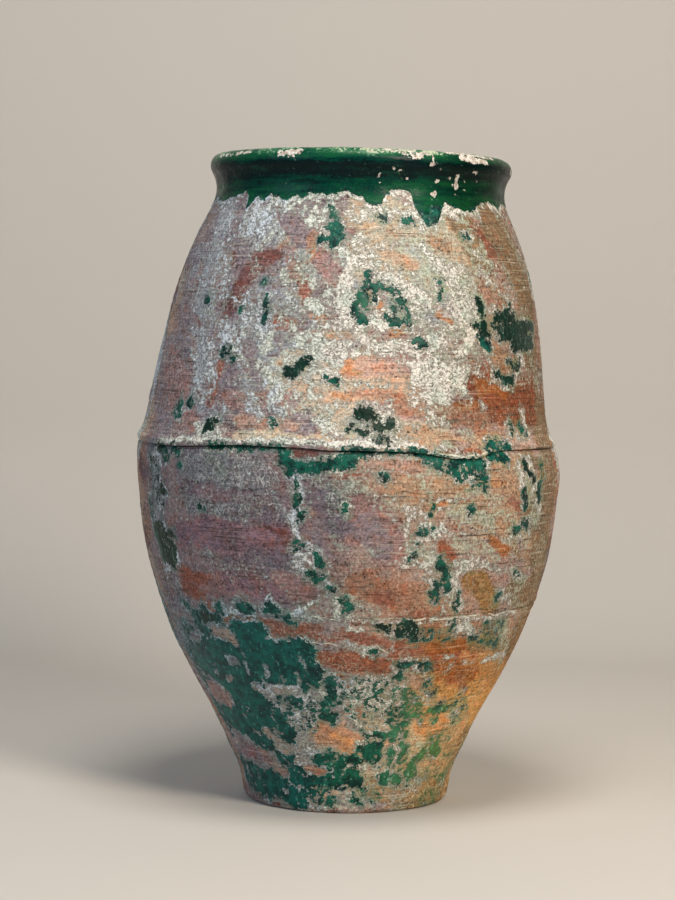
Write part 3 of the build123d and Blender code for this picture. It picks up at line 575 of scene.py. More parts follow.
def layers(angle, height):
    """Coverage of each layer at points of the wall, and the clay's colour."""
    warp_a = layered(angle, height, 46, 101, 2) * 0.6 + layered(angle, height, 15, 131, 2) * 0.5
    warp_z = layered(angle, height, 46, 111, 2) * 3.0 + layered(angle, height, 15, 141, 2) * 2.5
    a, z = angle + warp_a, height + warp_z
    ragged = 0.28 * layered(angle, height, 11, 121, 2)
    behind = ramp(np.abs(angle), 64, 80)
    unseen = (behind - 1) * 4

    green = strokes(a, z, GREEN, 7, 1.8) + ragged
    cover = 2.2 * (layered(angle, 0.8 * height, 62, 261, 5) - by_height(GREEN_RARE, height))
    green = np.maximum(green, np.clip(cover, FAR, 1) + unseen)
    edge = round_table(GLAZE_EDGE, angle)
    green = np.maximum(np.minimum(green, -strokes(a, z, BARE, 5)), np.clip((z - edge) / 5, FAR, 1))

    white = strokes(a, z, WHITE, 7) + ragged
    cover = 1.6 * (layered(angle, height, 75, 271, 5) - by_height(WHITE_RARE, height))
    white = np.maximum(white, np.clip(cover, FAR, 0.9) + unseen)
    clean = ramp(strokes(a, z, CLEAN, 6) + ragged, -0.3, 0.8)
    clean = np.maximum(clean, behind * ramp(layered(angle, height, 80, 281), 0.25, 0.75))
    rim_border = np.minimum((z - edge + 8 + 5 * lattice(angle, height, 24, 145)) / 6, 0.5)
    flecks = -0.78 + 0.3 * layered(angle, height, 90, 151, 2)
    centre = ramp(angle, -34, -14) * ramp(-angle, -44, -30) * ramp(height, 560, 600)
    flecks = flecks + 0.14 * centre + 0.32 * ramp(height, 560, 640) - 0.1 * ramp(-height, -300, -200)
    white = np.maximum.reduce([white, rim_border, flecks]) - 0.6 * clean

    haze = strokes(a, z, HAZE, 16)
    haze = np.maximum(haze, -0.22 + 0.55 * layered(angle, height, 80, 161, 3)) - 0.9 * clean

    pale, dark = [ramp(strokes(a, z, rows, 22), -0.6, 0.6) for rows in (PALE_GLAZE, DARK_GLAZE)]
    deep = dark - pale + 0.25 * layered(angle, height, 70, 155, 2)

    # cooler slip on the left: partly its own colour and partly painted cool light
    turn = angle + 8 * lattice(angle, height, 60, 157)
    above = ramp(height, 515, 560)
    cool = above * ramp(-turn, 0, 44) + (1 - above) * ramp(-turn, -6, 14)
    # along the ridge the slip is kept warm and creamy, as part of the lip's painted highlight
    cool = cool * (1 - 0.8 * ramp(height, 518, 530) * ramp(-height, -575, -560))

    return {
        "green": green, "white": white, "haze": haze, "clean": clean, "deep": deep, "cool": cool,
        "clay": clay_colour(angle, height, a, z, behind),
    }


# What the layers are on faces inside, which nothing covers
HIDDEN = {
    "green": FAR, "white": FAR, "haze": 0.0, "clean": 0.0, "deep": 0.0, "cool": 0.5, "clay": CLAY["pink"],
}


def with_hidden_rows(data, count):
    """The layers with as many rows added for the faces inside."""
    padded = {}
    for key, values in data.items():
        row = np.broadcast_to(np.array(HIDDEN[key]), (count,) + values.shape[1:])
        padded[key] = np.concatenate([values, row])
    return padded


# How far the line of the ridge wanders up and down, by angle
RIDGE_LINE = [
    (-180, 1), (-130, -2), (-90, 0), (-60, -5), (-50, -4), (-40, -1), (-28, 3), (-20, 2.5), (-12, 2),
    (-5, -0.5), (0, 0), (10, -0.3), (15, -1), (20, -3), (25, -8), (29, -11), (35, -11), (38.5, -6),
    (42, 0), (47, 1), (60, 0.7), (90, 0), (140, -2), (180, 1),
]

# How far the lip over the ridge and the ledge along the lower seam stand out, by angle
LIP = [
    (-180, 0.8), (-60, 0.85), (-30, 1), (15, 1), (22, 0.7), (28, 0.6), (38, 0.55), (45, 0.55), (60, 0.7),
    (90, 0.8), (180, 0.8),
]
LEDGE = [
    (-180, 0.7), (-70, 0.4), (-20, 0.5), (0, 0.9), (10, 1), (60, 1), (120, 0.6), (180, 0.7),
]


# The lip over the ridge: its width up and down, and how far the line's waves reach from it
LIP_RISE = 7.5
LINE_REACH = 26

# Height of one of the swellings that fingers left
FINGER = 13


def place(angle, radius, level):
    """The point at an angle and radius in the leaning plane of a level, in metres."""
    turn = np.radians(angle)
    tip = np.radians(curve(TIP_LINE, level))
    above = np.maximum(level - NECK_SEAM, 0)
    shift = curve(LEAN_LINE, level) + above * np.sin(tip)
    height = np.minimum(level, NECK_SEAM) + above * np.cos(tip)
    x = shift + radius * np.sin(turn) * np.cos(tip)
    y = -radius * np.cos(turn)
    z = height - radius * np.sin(turn) * np.sin(tip)
    return np.stack([x, y, z], -1) * MM


def plain_row(radius, level):
    """A row of points with one radius and one level all round."""
    return place(ANGLES, np.full(COLUMNS, radius), np.full(COLUMNS, float(level)))


def measured(points):
    """The angle and height by which the patches are placed."""
    x, y, z = np.moveaxis(points / MM, -1, 0)
    return np.degrees(np.arctan2(x - by_height(AXIS_LINE, z), -y)), z


def hand_work(angle, level):
    """How far the wall swells in and out where it was shaped by hand."""
    return 0.9 * lattice(angle, level, 190, 201) + 0.55 * layered(angle, level, 60, 211, 2)


def wall_radius(angle, level):
    """Outer radius of the drums with their hand-worked relief, before any glaze."""
    radius = curve(WALL_LINE, level) + hand_work(angle, level)
    fingers = np.sin(level / FINGER * 2 * math.pi + 2.4 * lattice(angle, level, 120, 221))
    fingers = fingers * ramp(level, 40, 120) * (0.6 + 0.4 * lattice(angle, level, 150, 231))
    radius = radius + 0.28 * fingers
    # the lip over the ridge, the swelling under it and the groove between them
    lip = round_table(LIP, angle)
    radius = radius + 4.4 * lip * np.exp(-((level - RIDGE - 4.5) / LIP_RISE) ** 2) * (level > RIDGE - 1)
    radius = radius + 1.6 * np.exp(-((level - 517) / 12) ** 2) * (level < RIDGE)
    radius = radius - 3.4 * lip * ramp(level, 526, 532) * (level < RIDGE - 1)
    # the ledge along the lower seam, with a fine groove
    ledge = round_table(LEDGE, angle)
    seam = level - LOWER_SEAM - 2.5 - 1.2 * lattice(angle, level, 200, 241)
    over, under = 1.5 * np.exp(-((seam - 4) / 7) ** 2) * (seam > 0), 0.8 * np.exp(-((seam + 4) / 4) ** 2)
    return radius + ledge * (over + under) - ledge * 1.9 * np.exp(-(seam / 1.3) ** 2)


def film(green, white, angle, level):
    """Thickness of the glaze and slip that is left on the wall."""
    crumble = 0.25 * lattice(angle, level, 7, 251)
    return 0.85 * ramp(green + crumble, -0.15, 0.35) + 0.35 * ramp(white + crumble, -0.1, 0.5)


def neck_film(data, angle, level):
    """Thickness of the slip at the neck, where the rim's glaze is a piece of its own."""
    return film(np.minimum(data["green"], -1), data["white"], angle, level)


# How far the values of noise are stretched, so that a swing of 1 reaches from about -1 to 1
SPREAD = 3.2


class Value:
    """What a node gives out. Sums and products of values add the nodes that work them out."""

    def __init__(self, shader, socket):
        self.shader = shader
        self.socket = socket

    def __add__(self, other):
        return self.shader.math("ADD", self, other)

    def __sub__(self, other):
        return self.shader.math("SUBTRACT", self, other)

    def __rsub__(self, other):
        return self.shader.math("SUBTRACT", other, self)

    def __mul__(self, other):
        return self.shader.math("MULTIPLY", self, other)

    __radd__ = __add__
    __rmul__ = __mul__


class Shader:
    """Short ways to add nodes to a material."""

    def __init__(self, name):
        self.material = bpy.data.materials.new(name)
        self.material.use_nodes = True
        self.tree = self.material.node_tree
        self.surface = self.tree.nodes["Principled BSDF"]
        self.place = self.node("ShaderNodeTexCoord", {}, "Object")

    def put(self, socket, value):
        """Link a value to a node's input, or set the input to a constant."""
        if isinstance(value, Value):
            self.tree.links.new(value.socket, socket)
        elif isinstance(value, tuple) and socket.type == "RGBA":
            socket.default_value = value + (1,)
        else:
            socket.default_value = value

    def node(self, kind, inputs, output=0, **settings):
        """Add a node with these settings and inputs, and give out one of its outputs."""
        node = self.tree.nodes.new(kind)
        for key, value in settings.items():
            setattr(node, key, value)
        for key, value in inputs.items():
            self.put(node.inputs[key], value)
        return Value(self, node.outputs[output])

    def axes(self):
        """The place on the piece in metres: x across, y away from the camera, z up."""
        split = self.node("ShaderNodeSeparateXYZ", {0: self.place}).socket.node
        return [Value(self, output) for output in split.outputs]

    def attribute(self, name, output="Fac"):
        return self.node("ShaderNodeAttribute", {}, output, attribute_name=name)

    def math(self, operation, a, b=0.0):
        return self.node("ShaderNodeMath", {0: a, 1: b}, operation=operation)

    def vector(self, operation, *values, output=0):
        inputs = dict(enumerate(values))
        return self.node("ShaderNodeVectorMath", inputs, output, operation=operation)

    def noise(self, scale, detail=4, rough=0.55, stretch=(1, 1, 1), shift=(0, 0, 0)):
        """Noise from about 0 to 1, finer with a larger scale."""
        inputs = {"Vector": self.place, "Location": shift, "Scale": stretch}
        moved = self.node("ShaderNodeMapping", inputs)
        inputs = {"Vector": moved, "Scale": scale, "Detail": detail, "Roughness": rough}
        return self.node("ShaderNodeTexNoise", inputs, "Fac")

    def bent_place(self, scale, amount):
        """The place on the piece, moved a little by noise so that straight lines come out uneven."""
        noise = self.node("ShaderNodeTexNoise", {"Vector": self.place, "Scale": scale}, "Color")
        centred = self.vector("SUBTRACT", noise, (0.5, 0.5, 0.5))
        reach = (SPREAD * amount, 0, SPREAD * amount)
        return self.vector("MULTIPLY_ADD", centred, reach, self.place)

    def along(self, point, x, z, offset):
        """How far a point lies in a direction seen from the front, less an offset."""
        return self.vector("DOT_PRODUCT", point, (x, 0, z), output="Value") - offset

    def thin_line(self, point, x0, z0, x1, z1, width):
        """1 on a thin line between two places on the front, given in millimetres, and 0 off it."""
        length = math.hypot(x1 - x0, z1 - z0)
        dx, dz = (x1 - x0) / length, (z1 - z0) / length
        run = self.along(point, dx, dz, (x0 * dx + z0 * dz) * MM)
        away = self.along(point, -dz, dx, (z0 * dx - x0 * dz) * MM)
        on = self.step(self.math("ABSOLUTE", away), width * MM, width * MM * 0.35)
        fade = min(8, length / 5) * MM
        ends = self.step(run, 0, fade) * self.step(run, length * MM, length * MM - fade)
        return on * ends

    def swing(self, noise, amount):
        """Noise as a value from about -amount to amount."""
        return (noise - 0.5) * (SPREAD * amount)

    def swings(self, first, *others):
        """The sum of several noises, each given with its amount."""
        total = self.swing(*first)
        for pair in others:
            total = total + self.swing(*pair)
        return total

    def step(self, value, low, high):
        """0 up to low, 1 from high on and smooth between; a high below low turns it round."""
        inputs = {"Value": value, "From Min": low, "From Max": high}
        return self.node("ShaderNodeMapRange", inputs, interpolation_type="SMOOTHSTEP")

    def span(self, value, low, high, to_low, to_high):
        """A range of the value, stretched to another range."""
        inputs = {"Value": value, "From Min": low, "From Max": high, "To Min": to_low, "To Max": to_high}
        return self.node("ShaderNodeMapRange", inputs)

    def blend(self, share, first, second, mode="MIX"):
        """A share of the second colour laid over the first, or multiplied with it."""
        inputs = {0: share, 6: first, 7: second}
        return self.node("ShaderNodeMix", inputs, 2, data_type="RGBA", blend_type=mode)

    def paint(self, under, share, tone):
        """A colour with a share of one of the tones over it."""
        return self.blend(share, under, TONES[tone])

    def shade(self, under, share, tone):
        """A colour multiplied by a share of one of the tones."""
        return self.blend(share, under, TONES[tone], "MULTIPLY")

    def between(self, share, first, second):
        """A colour between two of the tones."""
        return self.blend(share, TONES[first], TONES[second])

    def mix_value(self, share, first, second):
        """A value between two others."""
        return self.node("ShaderNodeMix", {0: share, 2: first, 3: second}, data_type="FLOAT")

    def brightness(self, colour, factor):
        """A colour times a grey value."""
        return self.node("ShaderNodeVectorMath", {0: colour, "Scale": factor}, operation="SCALE")

    def bump(self, height, strength=1.0):
        normal = self.node("ShaderNodeBump", {"Strength": strength, "Distance": MM, "Height": height})
        self.put(self.surface.inputs["Normal"], normal)

    def finish(self, colour, rough, specular=None):
        """Set the surface's colour, roughness and shine, and give out the material."""
        self.put(self.surface.inputs["Base Color"], colour)
        self.put(self.surface.inputs["Roughness"], rough)
        if specular is not None:
            self.put(self.surface.inputs["Specular IOR Level"], specular)
        return self.material


# Long scratches round the front, in millimetres: x and height of both ends, and half the width
SCRATCHES = [
    (-104, 773, -30, 751, 1.3), (-88, 799, -26, 783, 0.8), (-80, 790, -30, 776, 0.7),
    (16, 472, 165, 465, 1.1), (60, 476, 150, 473, 0.8), (90, 462, 172, 460, 0.9),
    (133, 424, 222, 419, 1.1), (150, 415, 246, 411, 0.9), (170, 373, 262, 368, 1.1),
    (182, 364, 268, 361, 0.8), (166, 305, 245, 303, 1.2), (20, 508, 100, 503, 0.8),
    (100, 520, 150, 500, 1.2),
]

# Thin white edges round the front, written in the same way
THREADS = [
    (-70, 299, 34, 297, 0.9), (34, 297.5, 113, 296, 1.5), (113, 296, 194, 297, 1.8),
    (194, 297, 246, 295, 1.3), (106, 532, 136, 526, 1.6), (134, 526, 156, 523, 1.6),
    (154, 523, 183, 523.5, 1.7), (181, 523, 203, 531, 1.6), (-72, 514, -44, 512, 1.4),
    (-46, 512, 2, 519, 1.5), (0, 518, 36, 531, 1.3), (-167, 281, -146, 284, 1.3),
    (-148, 284, -122, 285, 1.4), (-122, 283, -103, 264, 1.3), (-106, 264, -50, 263, 1.4),
    (-52, 264, -12, 258, 1.0), (148, 342, 144, 306, 1.3), (132, 376, 150, 345, 1.1),
    (98, 388, 134, 372, 1.0), (38, 262, 58, 246, 1.3),
]


# The colours that the surfaces are painted with
TONES = {
    "warmer": (1.08, 0.84, 0.7),
    "cooler": (0.8, 0.92, 1),
    "belly_shade": (0.84, 0.82, 0.84),
    "pale_grain": (0.7, 0.64, 0.55),
    "pit": (0.045, 0.036, 0.034),
    "hair_line": (0.07, 0.05, 0.04),
    "pale_hair_line": (0.64, 0.56, 0.46),
    "scratch": (0.04, 0.028, 0.024),
    "crazing_lit_crest": (0.62, 0.58, 0.46),
    # painted light that brightens the clay low on the front
    "foot_lit_clay": (1.36, 1.38, 1.3),
    "lee_shade": (0.82, 0.76, 0.7),
    # painted warm light on the lower right
    "low_right_warm_light": (1.02, 0.93, 0.76),
    # painted light on the middle of the shoulder
    "lit_shoulder": (1.24, 1.24, 1.27),
    "haze_blue": (0.33, 0.39, 0.46),
    "haze_green": (0.42, 0.53, 0.4),
    # shaded copies of the haze colours, for painted shade
    "shaded_haze_blue": (0.18, 0.198, 0.222),
    "shaded_haze_green": (0.185, 0.265, 0.228),
    # painted highlight and painted shade of the haze's crests and crevices
    "haze_lit_crest": (0.7, 0.72, 0.68),
    "haze_shaded_crevice": (0.07, 0.075, 0.08),
    "stain_left": (0.06, 0.19, 0.2),
    "stain_right": (0.11, 0.26, 0.11),
    "wash": (0.6, 0.64, 0.53),
    "slip_shadow": (0.085, 0.07, 0.062),
    "slip_blue": (0.6, 0.67, 0.75),
    "slip_green": (0.68, 0.74, 0.66),
    "slip_cream": (0.84, 0.79, 0.72),
    # painted highlight and painted shade of the slip's crests and crevices
    "slip_lit_crest": (0.88, 0.885, 0.85),
    "slip_shaded_crevice": (0.13, 0.12, 0.1),
    # painted shade for the slip at the right edge
    "lee_slip_shade": (0.92, 0.9, 0.86),
    "slip_speck": (0.16, 0.14, 0.12),
    "slip_crack": (0.16, 0.14, 0.11),
    "thread": (0.84, 0.84, 0.72),
    "glaze_dark": (0.001, 0.024, 0.022),
    "glaze_bright": (0.006, 0.115, 0.078),
    "teal_dark": (0.0003, 0.034, 0.035),
    "teal_bright": (0.0006, 0.118, 0.097),
    "glaze_deep": (0.003, 0.017, 0.009),
    "glaze_thin": (0.038, 0.175, 0.105),
    "glaze_thin_right": (0.115, 0.215, 0.06),
    "score": (0.36, 0.5, 0.44),
    "score_left": (0.1, 0.36, 0.31),
    "rubbed": (0.32, 0.47, 0.38),
    "rubbed_left": (0.07, 0.33, 0.32),
    # painted light that brightens the glaze low on the front
    "foot_lit_glaze": (1, 1.26, 1.08),
    "foot_light": (1.12, 1.13, 1.06),
    "low_left_shade": (0.76, 0.92, 0.97),
    "rim_bright": (0.005, 0.088, 0.034),
    "rim_middle": (0.0005, 0.044, 0.029),
    # darkest glaze under the roll, partly pooled and partly painted shade
    "rim_pool_shaded": (0.0001, 0.011, 0.012),
    "rim_right_shade": (0.9, 0.66, 0.45),
    "rim_speck": (0.13, 0.24, 0.17),
    # paler glaze on the rim's top, partly wear and partly painted highlight
    "rim_thin_lit": (0.11, 0.31, 0.17),
    "rim_worn_lit": (0.58, 0.6, 0.44),
    "chip_clay": (0.42, 0.34, 0.29),
    "chip_slip": (0.74, 0.71, 0.64),
    "honey_dark": (0.16, 0.085, 0.03),
    "honey": (0.42, 0.27, 0.1),
    "honey_craze": (0.08, 0.05, 0.03),
    "plain_clay_dark": (0.34, 0.17, 0.1),
    "plain_clay": (0.5, 0.3, 0.2),
}


def weathered():
    """Fired clay under haze, slip and flaking green glaze."""
    s = Shader("weathered_clay")
    x, y, z = s.axes()
    low = s.step(z, 0.36, 0.27)
    left = low * s.step(x, 0.02, -0.09)
    right = low * s.step(x, 0.05, 0.13)
    side = s.span(x, -0.25, 0.25, -0.5, 0.5)
    broad = s.noise(26, 4, 0.6)
    middle = s.noise(110, 3, 0.6, shift=(3, 1, 2))
    fine = s.noise(240, 2, 0.6, shift=(1, 5, 2))
    dust = s.noise(410, 1, 0.5, shift=(4, 2, 6))
    brushed = s.noise(210, 3, 0.6, stretch=(0.1, 0.1, 1), shift=(2, 2, 7))
    lines = s.noise(400, 2, 0.5, stretch=(0.025, 0.025, 1), shift=(5, 1, 3))

    # clay: mottled tone, redder and greyer spots, pale and dark flecks, hair lines
    tone = 1.0 + s.swings((broad, 0.22), (middle, 0.32), (brushed, 0.3), (fine, 0.58), (dust, 0.46))
    clay = s.brightness(s.attribute("clay", "Color"), s.math("MAXIMUM", tone, 0.2))
    drift = s.noise(62, 4, 0.65, shift=(8, 8, 1))
    clay = s.shade(clay, s.step(drift, 0.5, 0.66), "warmer")
    clay = s.shade(clay, s.step(drift, 0.47, 0.33), "cooler")
    scrape = s.swings((fine, 0.75), (middle, 0.45), (dust, 0.45))
    # painted shade: the left and middle of the belly are darkened
    belly = s.step(z, 0.545, 0.52) * s.step(z, 0.29, 0.31) * s.step(x, 0.1, -0.04)
    clay = s.shade(clay, belly, "belly_shade")
    pale = s.step(scrape, 0.4, 0.66)
    # fewer pale grains where the clay is clean, and fewer over the belly's painted shade
    pale_grain_share = 0.62 - (s.attribute("clean") * 0.36 + belly * 0.24)
    clay = s.paint(clay, pale * pale_grain_share, "pale_grain")
    pits = s.swings((fine, -0.6), (brushed, -0.45), (dust, -0.55))
    dark = s.step(pits, 0.42, 0.68)
    clay = s.paint(clay, dark * 0.8, "pit")
    cluster = s.step(s.noise(11, 3, 0.6, shift=(3, 7, 7)), 0.42, 0.56)
    hair = s.step(lines, 0.58, 0.68) * cluster
    clay = s.paint(clay, hair * 0.85, "hair_line")
    pale_hair = s.step(lines, 0.38, 0.3) * cluster
    # fewer pale hair lines over the belly's painted shade
    clay = s.paint(clay, pale_hair * (0.62 - belly * 0.48), "pale_hair_line")

    bent = s.bent_place(38, 0.0042)
    front = s.step(y, 0.0, -0.02)
    seen = front * s.step(middle, 0.4, 0.5)
    for row in SCRATCHES:
        line = s.thin_line(bent, *row) * seen
        clay = s.paint(clay, line * 0.85, "scratch")
    # the crests of this wavy pattern are painted lighter and its crevices darker, a painted highlight and
    # painted shade that go with the slip's bump below
    contour = s.math("SINE", s.noise(62, 2, 0.5, shift=(6, 6, 2)) * 46)
    lively = s.span(s.noise(24, 2, 0.5, shift=(2, 3, 1)), 0.38, 0.58, 0.35, 1)
    lit_crest = s.step(contour, 0.35, 0.9) * lively
    shaded_crevice = s.step(contour, -0.6, -0.96) * lively
    # pale crazing laid on the crests low on the front: partly a pattern and partly a painted highlight
    crazed = s.step(s.noise(16, 3, 0.6, shift=(6, 1, 8)), 0.48, 0.6) * s.step(z, 0.46, 0.38)
    crazed = crazed * s.step(x, -0.12, 0.0)
    clay = s.paint(clay, lit_crest * crazed * 0.42, "crazing_lit_crest")
    # painted light: the clay low on the jar, from the middle to the right, is made brighter
    lit_foot = s.step(z, 0.23, 0.13) * s.step(x, -0.12, -0.01)
    clay = s.shade(clay, lit_foot, "foot_lit_clay")
    # painted shade: the right edge below the ridge is darkened, on the clay here and on the slip further
    # on
    lee = s.step(x, 0.1, 0.19) * s.step(z, 0.54, 0.58)
    clay = s.shade(clay, lee, "lee_shade")
    # painted warm light: the lower right side is tinted warmer
    clay = s.shade(clay, right, "low_right_warm_light")
    # painted light: the middle of the shoulder in front is made brighter
    lit = s.step(z, 0.55, 0.575) * s.step(z, 0.68, 0.64) * s.step(s.math("ABSOLUTE", x), 0.13, 0.06)
    clay = s.shade(clay, lit, "lit_shoulder")
    burrs = s.noise(155, 3, 0.55, shift=(9, 2, 5))
    crack = s.step(s.math("ABSOLUTE", burrs - 0.5), 0.03, 0.008)

    # thin film of haze, bluer on one side and greener on the other, partly as painted cool and warm light
    haze_edge = s.swings((middle, 0.55), (brushed, 0.5), (fine, 0.6))
    haze = s.step(s.attribute("haze") + haze_edge, -0.05, 0.8)
    greener = s.step(s.noise(18, 3, 0.6, shift=(1, 9, 4)) + side * 0.35, 0.4, 0.6)
    # painted shade: the haze below the ridge, on the left and middle, takes darker shaded copies of its
    # colours
    dim = s.step(z, 0.545, 0.52) * s.step(x, 0.1, -0.06)
    haze_tone = s.between(greener, "haze_blue", "haze_green")
    haze_tone = s.blend(dim, haze_tone, s.between(greener, "shaded_haze_blue", "shaded_haze_green"))
    haze_tone = s.brightness(haze_tone, 1.0 + s.swings((fine, 0.42), (dust, 0.3)))
    colour = s.blend(haze * 0.62, clay, haze_tone)
    # painted highlight on the crests and painted shade in the crevices of the haze
    colour = s.paint(colour, lit_crest * haze * 0.52, "haze_lit_crest")
    colour = s.paint(colour, shaded_crevice * haze * 0.6, "haze_shaded_crevice")

    # green that has soaked in round the flakes
    flakes = s.noise(115, 7, 0.7, shift=(2, 8, 5))
    grains = s.noise(230, 4, 0.7, stretch=(0.8, 0.8, 1), shift=(4, 4, 4))
    green_edge = s.swings((flakes, 1.35), (grains, 0.9), (fine, 0.4))
    green_sum = s.attribute("green") + green_edge
    stain = s.step(green_sum, -1.35, 0.0)
    # bluer on the left and yellower on the right: partly the stain's own colour and partly painted cool
    # and warm light
    stain_tone = s.between(s.span(side, -0.5, 0.5, 0, 1), "stain_left", "stain_right")
    colour = s.blend(stain * 0.48, colour, stain_tone)

    # slip: a thin wash, and a crust with pits
    crumbs = s.noise(100, 8, 0.72, shift=(7, 3, 1))
    white_edge = s.swings((crumbs, 1.2), (grains, 0.8), (fine, 0.35))
    white_sum = s.attribute("white") + (white_edge - crack * 0.5)
    room = s.swings((s.noise(36, 3, 0.6, shift=(5, 5, 9)), 1.3), (crumbs, 0.8))
    ring = green_sum * 1.4 + (0.34 + room) - right * 0.5
    white_sum = s.math("MAXIMUM", white_sum, s.math("MINIMUM", ring, 0.6))
    wash = s.step(white_sum, -0.6, 0.2)
    colour = s.paint(colour, wash * 0.46, "wash")
    white = s.step(white_sum, -0.02, 0.17)
    shade = s.step(white_sum, -0.26, -0.06) * s.step(middle, 0.36, 0.56)
    colour = s.paint(colour, shade * 0.5, "slip_shadow")
    # bluer slip where the cool mask is high, on the left: partly its own colour and partly painted cool
    # light
    patchy = s.noise(40, 4, 0.6, shift=(9, 1, 1)) + (0.5 - s.attribute("cool")) * 0.42
    white_tone = s.between(s.step(patchy, 0.38, 0.54), "slip_blue", "slip_green")
    white_tone = s.paint(white_tone, s.step(patchy, 0.58, 0.74), "slip_cream")
    white_tone = s.brightness(white_tone, 1.0 + s.swings((fine, 0.44), (dust, 0.36)))
    # painted highlight on the crests and painted shade in the crevices of the slip
    white_tone = s.paint(white_tone, lit_crest * 0.8, "slip_lit_crest")
    white_tone = s.paint(white_tone, shaded_crevice * 0.7, "slip_shaded_crevice")
    # painted shade on the slip at the right edge below the ridge
    white_tone = s.shade(white_tone, lee, "lee_slip_shade")
    specks = s.step(s.swings((grains, -0.8), (fine, -0.8)), 0.3, 0.54)
    white_tone = s.paint(white_tone, specks * 0.5, "slip_speck")
    white_tone = s.paint(white_tone, crack * 0.35, "slip_crack")
    colour = s.blend(white * 0.95, colour, white_tone)

    # thin white edges
    for row in THREADS:
        line = s.thin_line(bent, *row) * front * s.span(fine, 0.35, 0.5, 0.3, 0.9)
        colour = s.paint(colour, line, "thread")

    # glaze that is left, dark and bright, with rubbed grains and pale scratches
    green = s.step(green_sum, -0.04, 0.1)
    depth = s.noise(60, 5, 0.65, shift=(1, 1, 9)) + s.swing(fine, 0.09)
    glaze = s.between(s.step(depth, 0.36, 0.62), "glaze_dark", "glaze_bright")
    deep = s.attribute("deep") + s.swing(flakes, 0.35)
    # more teal on the left and more yellow-green on the right, here and below: partly the glaze's own
    # colour and partly painted cool and warm light
    teal = s.between(s.step(depth, 0.34, 0.64), "teal_dark", "teal_bright")
    glaze = s.blend(left, glaze, teal)
    glaze = s.paint(glaze, s.step(deep, 0.1, 0.9) * 0.85, "glaze_deep")
    thin_tone = s.between(right, "glaze_thin", "glaze_thin_right")
    thin_tone = s.brightness(thin_tone, s.span(depth, 0.3, 0.7, 0.6, 1.35))
    glaze = s.blend(s.step(deep, -0.1, -0.9) * 0.85, glaze, thin_tone)
    runs = s.noise(170, 3, 0.65, stretch=(1, 1, 0.28), shift=(8, 3, 6))
    scored = s.step(runs, 0.6, 0.7) * (0.25 + low * 0.55)
    glaze = s.blend(scored, glaze, s.between(left, "score", "score_left"))
    rubbed = s.step(s.swings((grains, 0.8), (fine, 0.6), (dust, 0.5)), 0.5, 0.78)
    glaze = s.blend(rubbed * (0.75 - left * 0.25), glaze, s.between(left, "rubbed", "rubbed_left"))
    # painted light: the glaze low on the jar, from the middle to the right, is made brighter, and the
    # colour under it too
    bright = s.step(z, 0.21, 0.13) * s.step(x, -0.07, -0.01)
    glaze = s.shade(glaze, bright, "foot_lit_glaze")
    colour = s.shade(colour, lit_foot, "foot_light")
    colour = s.blend(green, colour, glaze)
    gloom = left * s.step(z, 0.17, 0.23)
    colour = s.shade(colour, gloom, "low_left_shade")

    rough = s.span(fine, 0.3, 0.7, 0.8, 0.95)
    rough = s.mix_value(green, rough, s.span(middle, 0.3, 0.7, 0.3, 0.5))

    # relief: the clay's grain with the slip's crust and pits on it, and smooth glaze over both
    height = fine * 1.2 + dust * 0.5 + middle * 1.8 + brushed * 1.5 + lines * 1.1 + white
    height = height - specks * white * 0.5 + (lit_crest - shaded_crevice) * white * 0.7
    soft_green = s.step(green_sum, -0.08, 0.35)
    smooth = soft_green * 0.9 + middle * 1.3
    height = s.mix_value(green, height, smooth + (2.3 + grains * 0.5))
    s.bump(height)
    return s.finish(colour, rough, 0.22)


def rim_glaze():
    """Thick green glaze, dark where it pools and with painted shade under the roll, with chips that show
    the clay.
    """
    s = Shader("green_glaze")
    pool = s.attribute("pool")
    cloud = s.noise(38, 5, 0.6, stretch=(1, 1, 2.2))
    fine = s.noise(240, 3, 0.65, shift=(3, 3, 3))
    dust = s.noise(480, 1, 0.5, shift=(1, 3, 8))
    streak = s.noise(150, 3, 0.6, stretch=(0.12, 0.12, 1), shift=(2, 6, 2))
    mottle = s.swings((streak, 0.9), (fine, 0.6), (dust, 0.4))
    depth = pool + (s.swing(cloud, 0.6) + mottle)
    glaze = s.between(s.step(depth, -0.9, 0.1), "rim_bright", "rim_middle")
    glaze = s.paint(glaze, s.step(depth, 0.0, 0.8), "rim_pool_shaded")
    x = s.axes()[0]
    glaze = s.shade(glaze, s.step(x, 0.08, 0.17), "rim_right_shade")
    speck = s.step(s.swings((fine, 0.8), (dust, 0.6)), 0.56, 0.78)
    glaze = s.paint(glaze, speck * 0.6, "rim_speck")
    # where worn is high the glaze is paler and thinner: partly wear and partly a painted highlight on the
    # rim's top
    worn = s.attribute("worn") + s.swings((fine, 1.1), (cloud, 0.6))
    thin = s.step(worn, -0.45, 0.45)
    glaze = s.paint(glaze, thin * 0.65, "rim_thin_lit")
    bare = s.step(worn, 0.24, 0.5)
    glaze = s.paint(glaze, bare * 0.85, "rim_worn_lit")
    crumbs = s.noise(150, 8, 0.7, shift=(6, 2, 4))
    chip_sum = s.attribute("chip") + s.swings((crumbs, 1.5), (fine, 0.5))
    chip = s.step(chip_sum, 0.08, 0.22)
    body = s.between(s.step(fine, 0.4, 0.6), "chip_clay", "chip_slip")
    glaze = s.blend(chip, glaze, body)
    gloss = s.span(cloud, 0.3, 0.7, 0.22, 0.4)
    gloss = s.mix_value(chip, s.mix_value(bare, gloss, 0.6), 0.85)
    s.bump(cloud * 1.6 + fine * 0.35 - chip * 0.7, 0.8)
    return s.finish(glaze, gloss, 0.12)


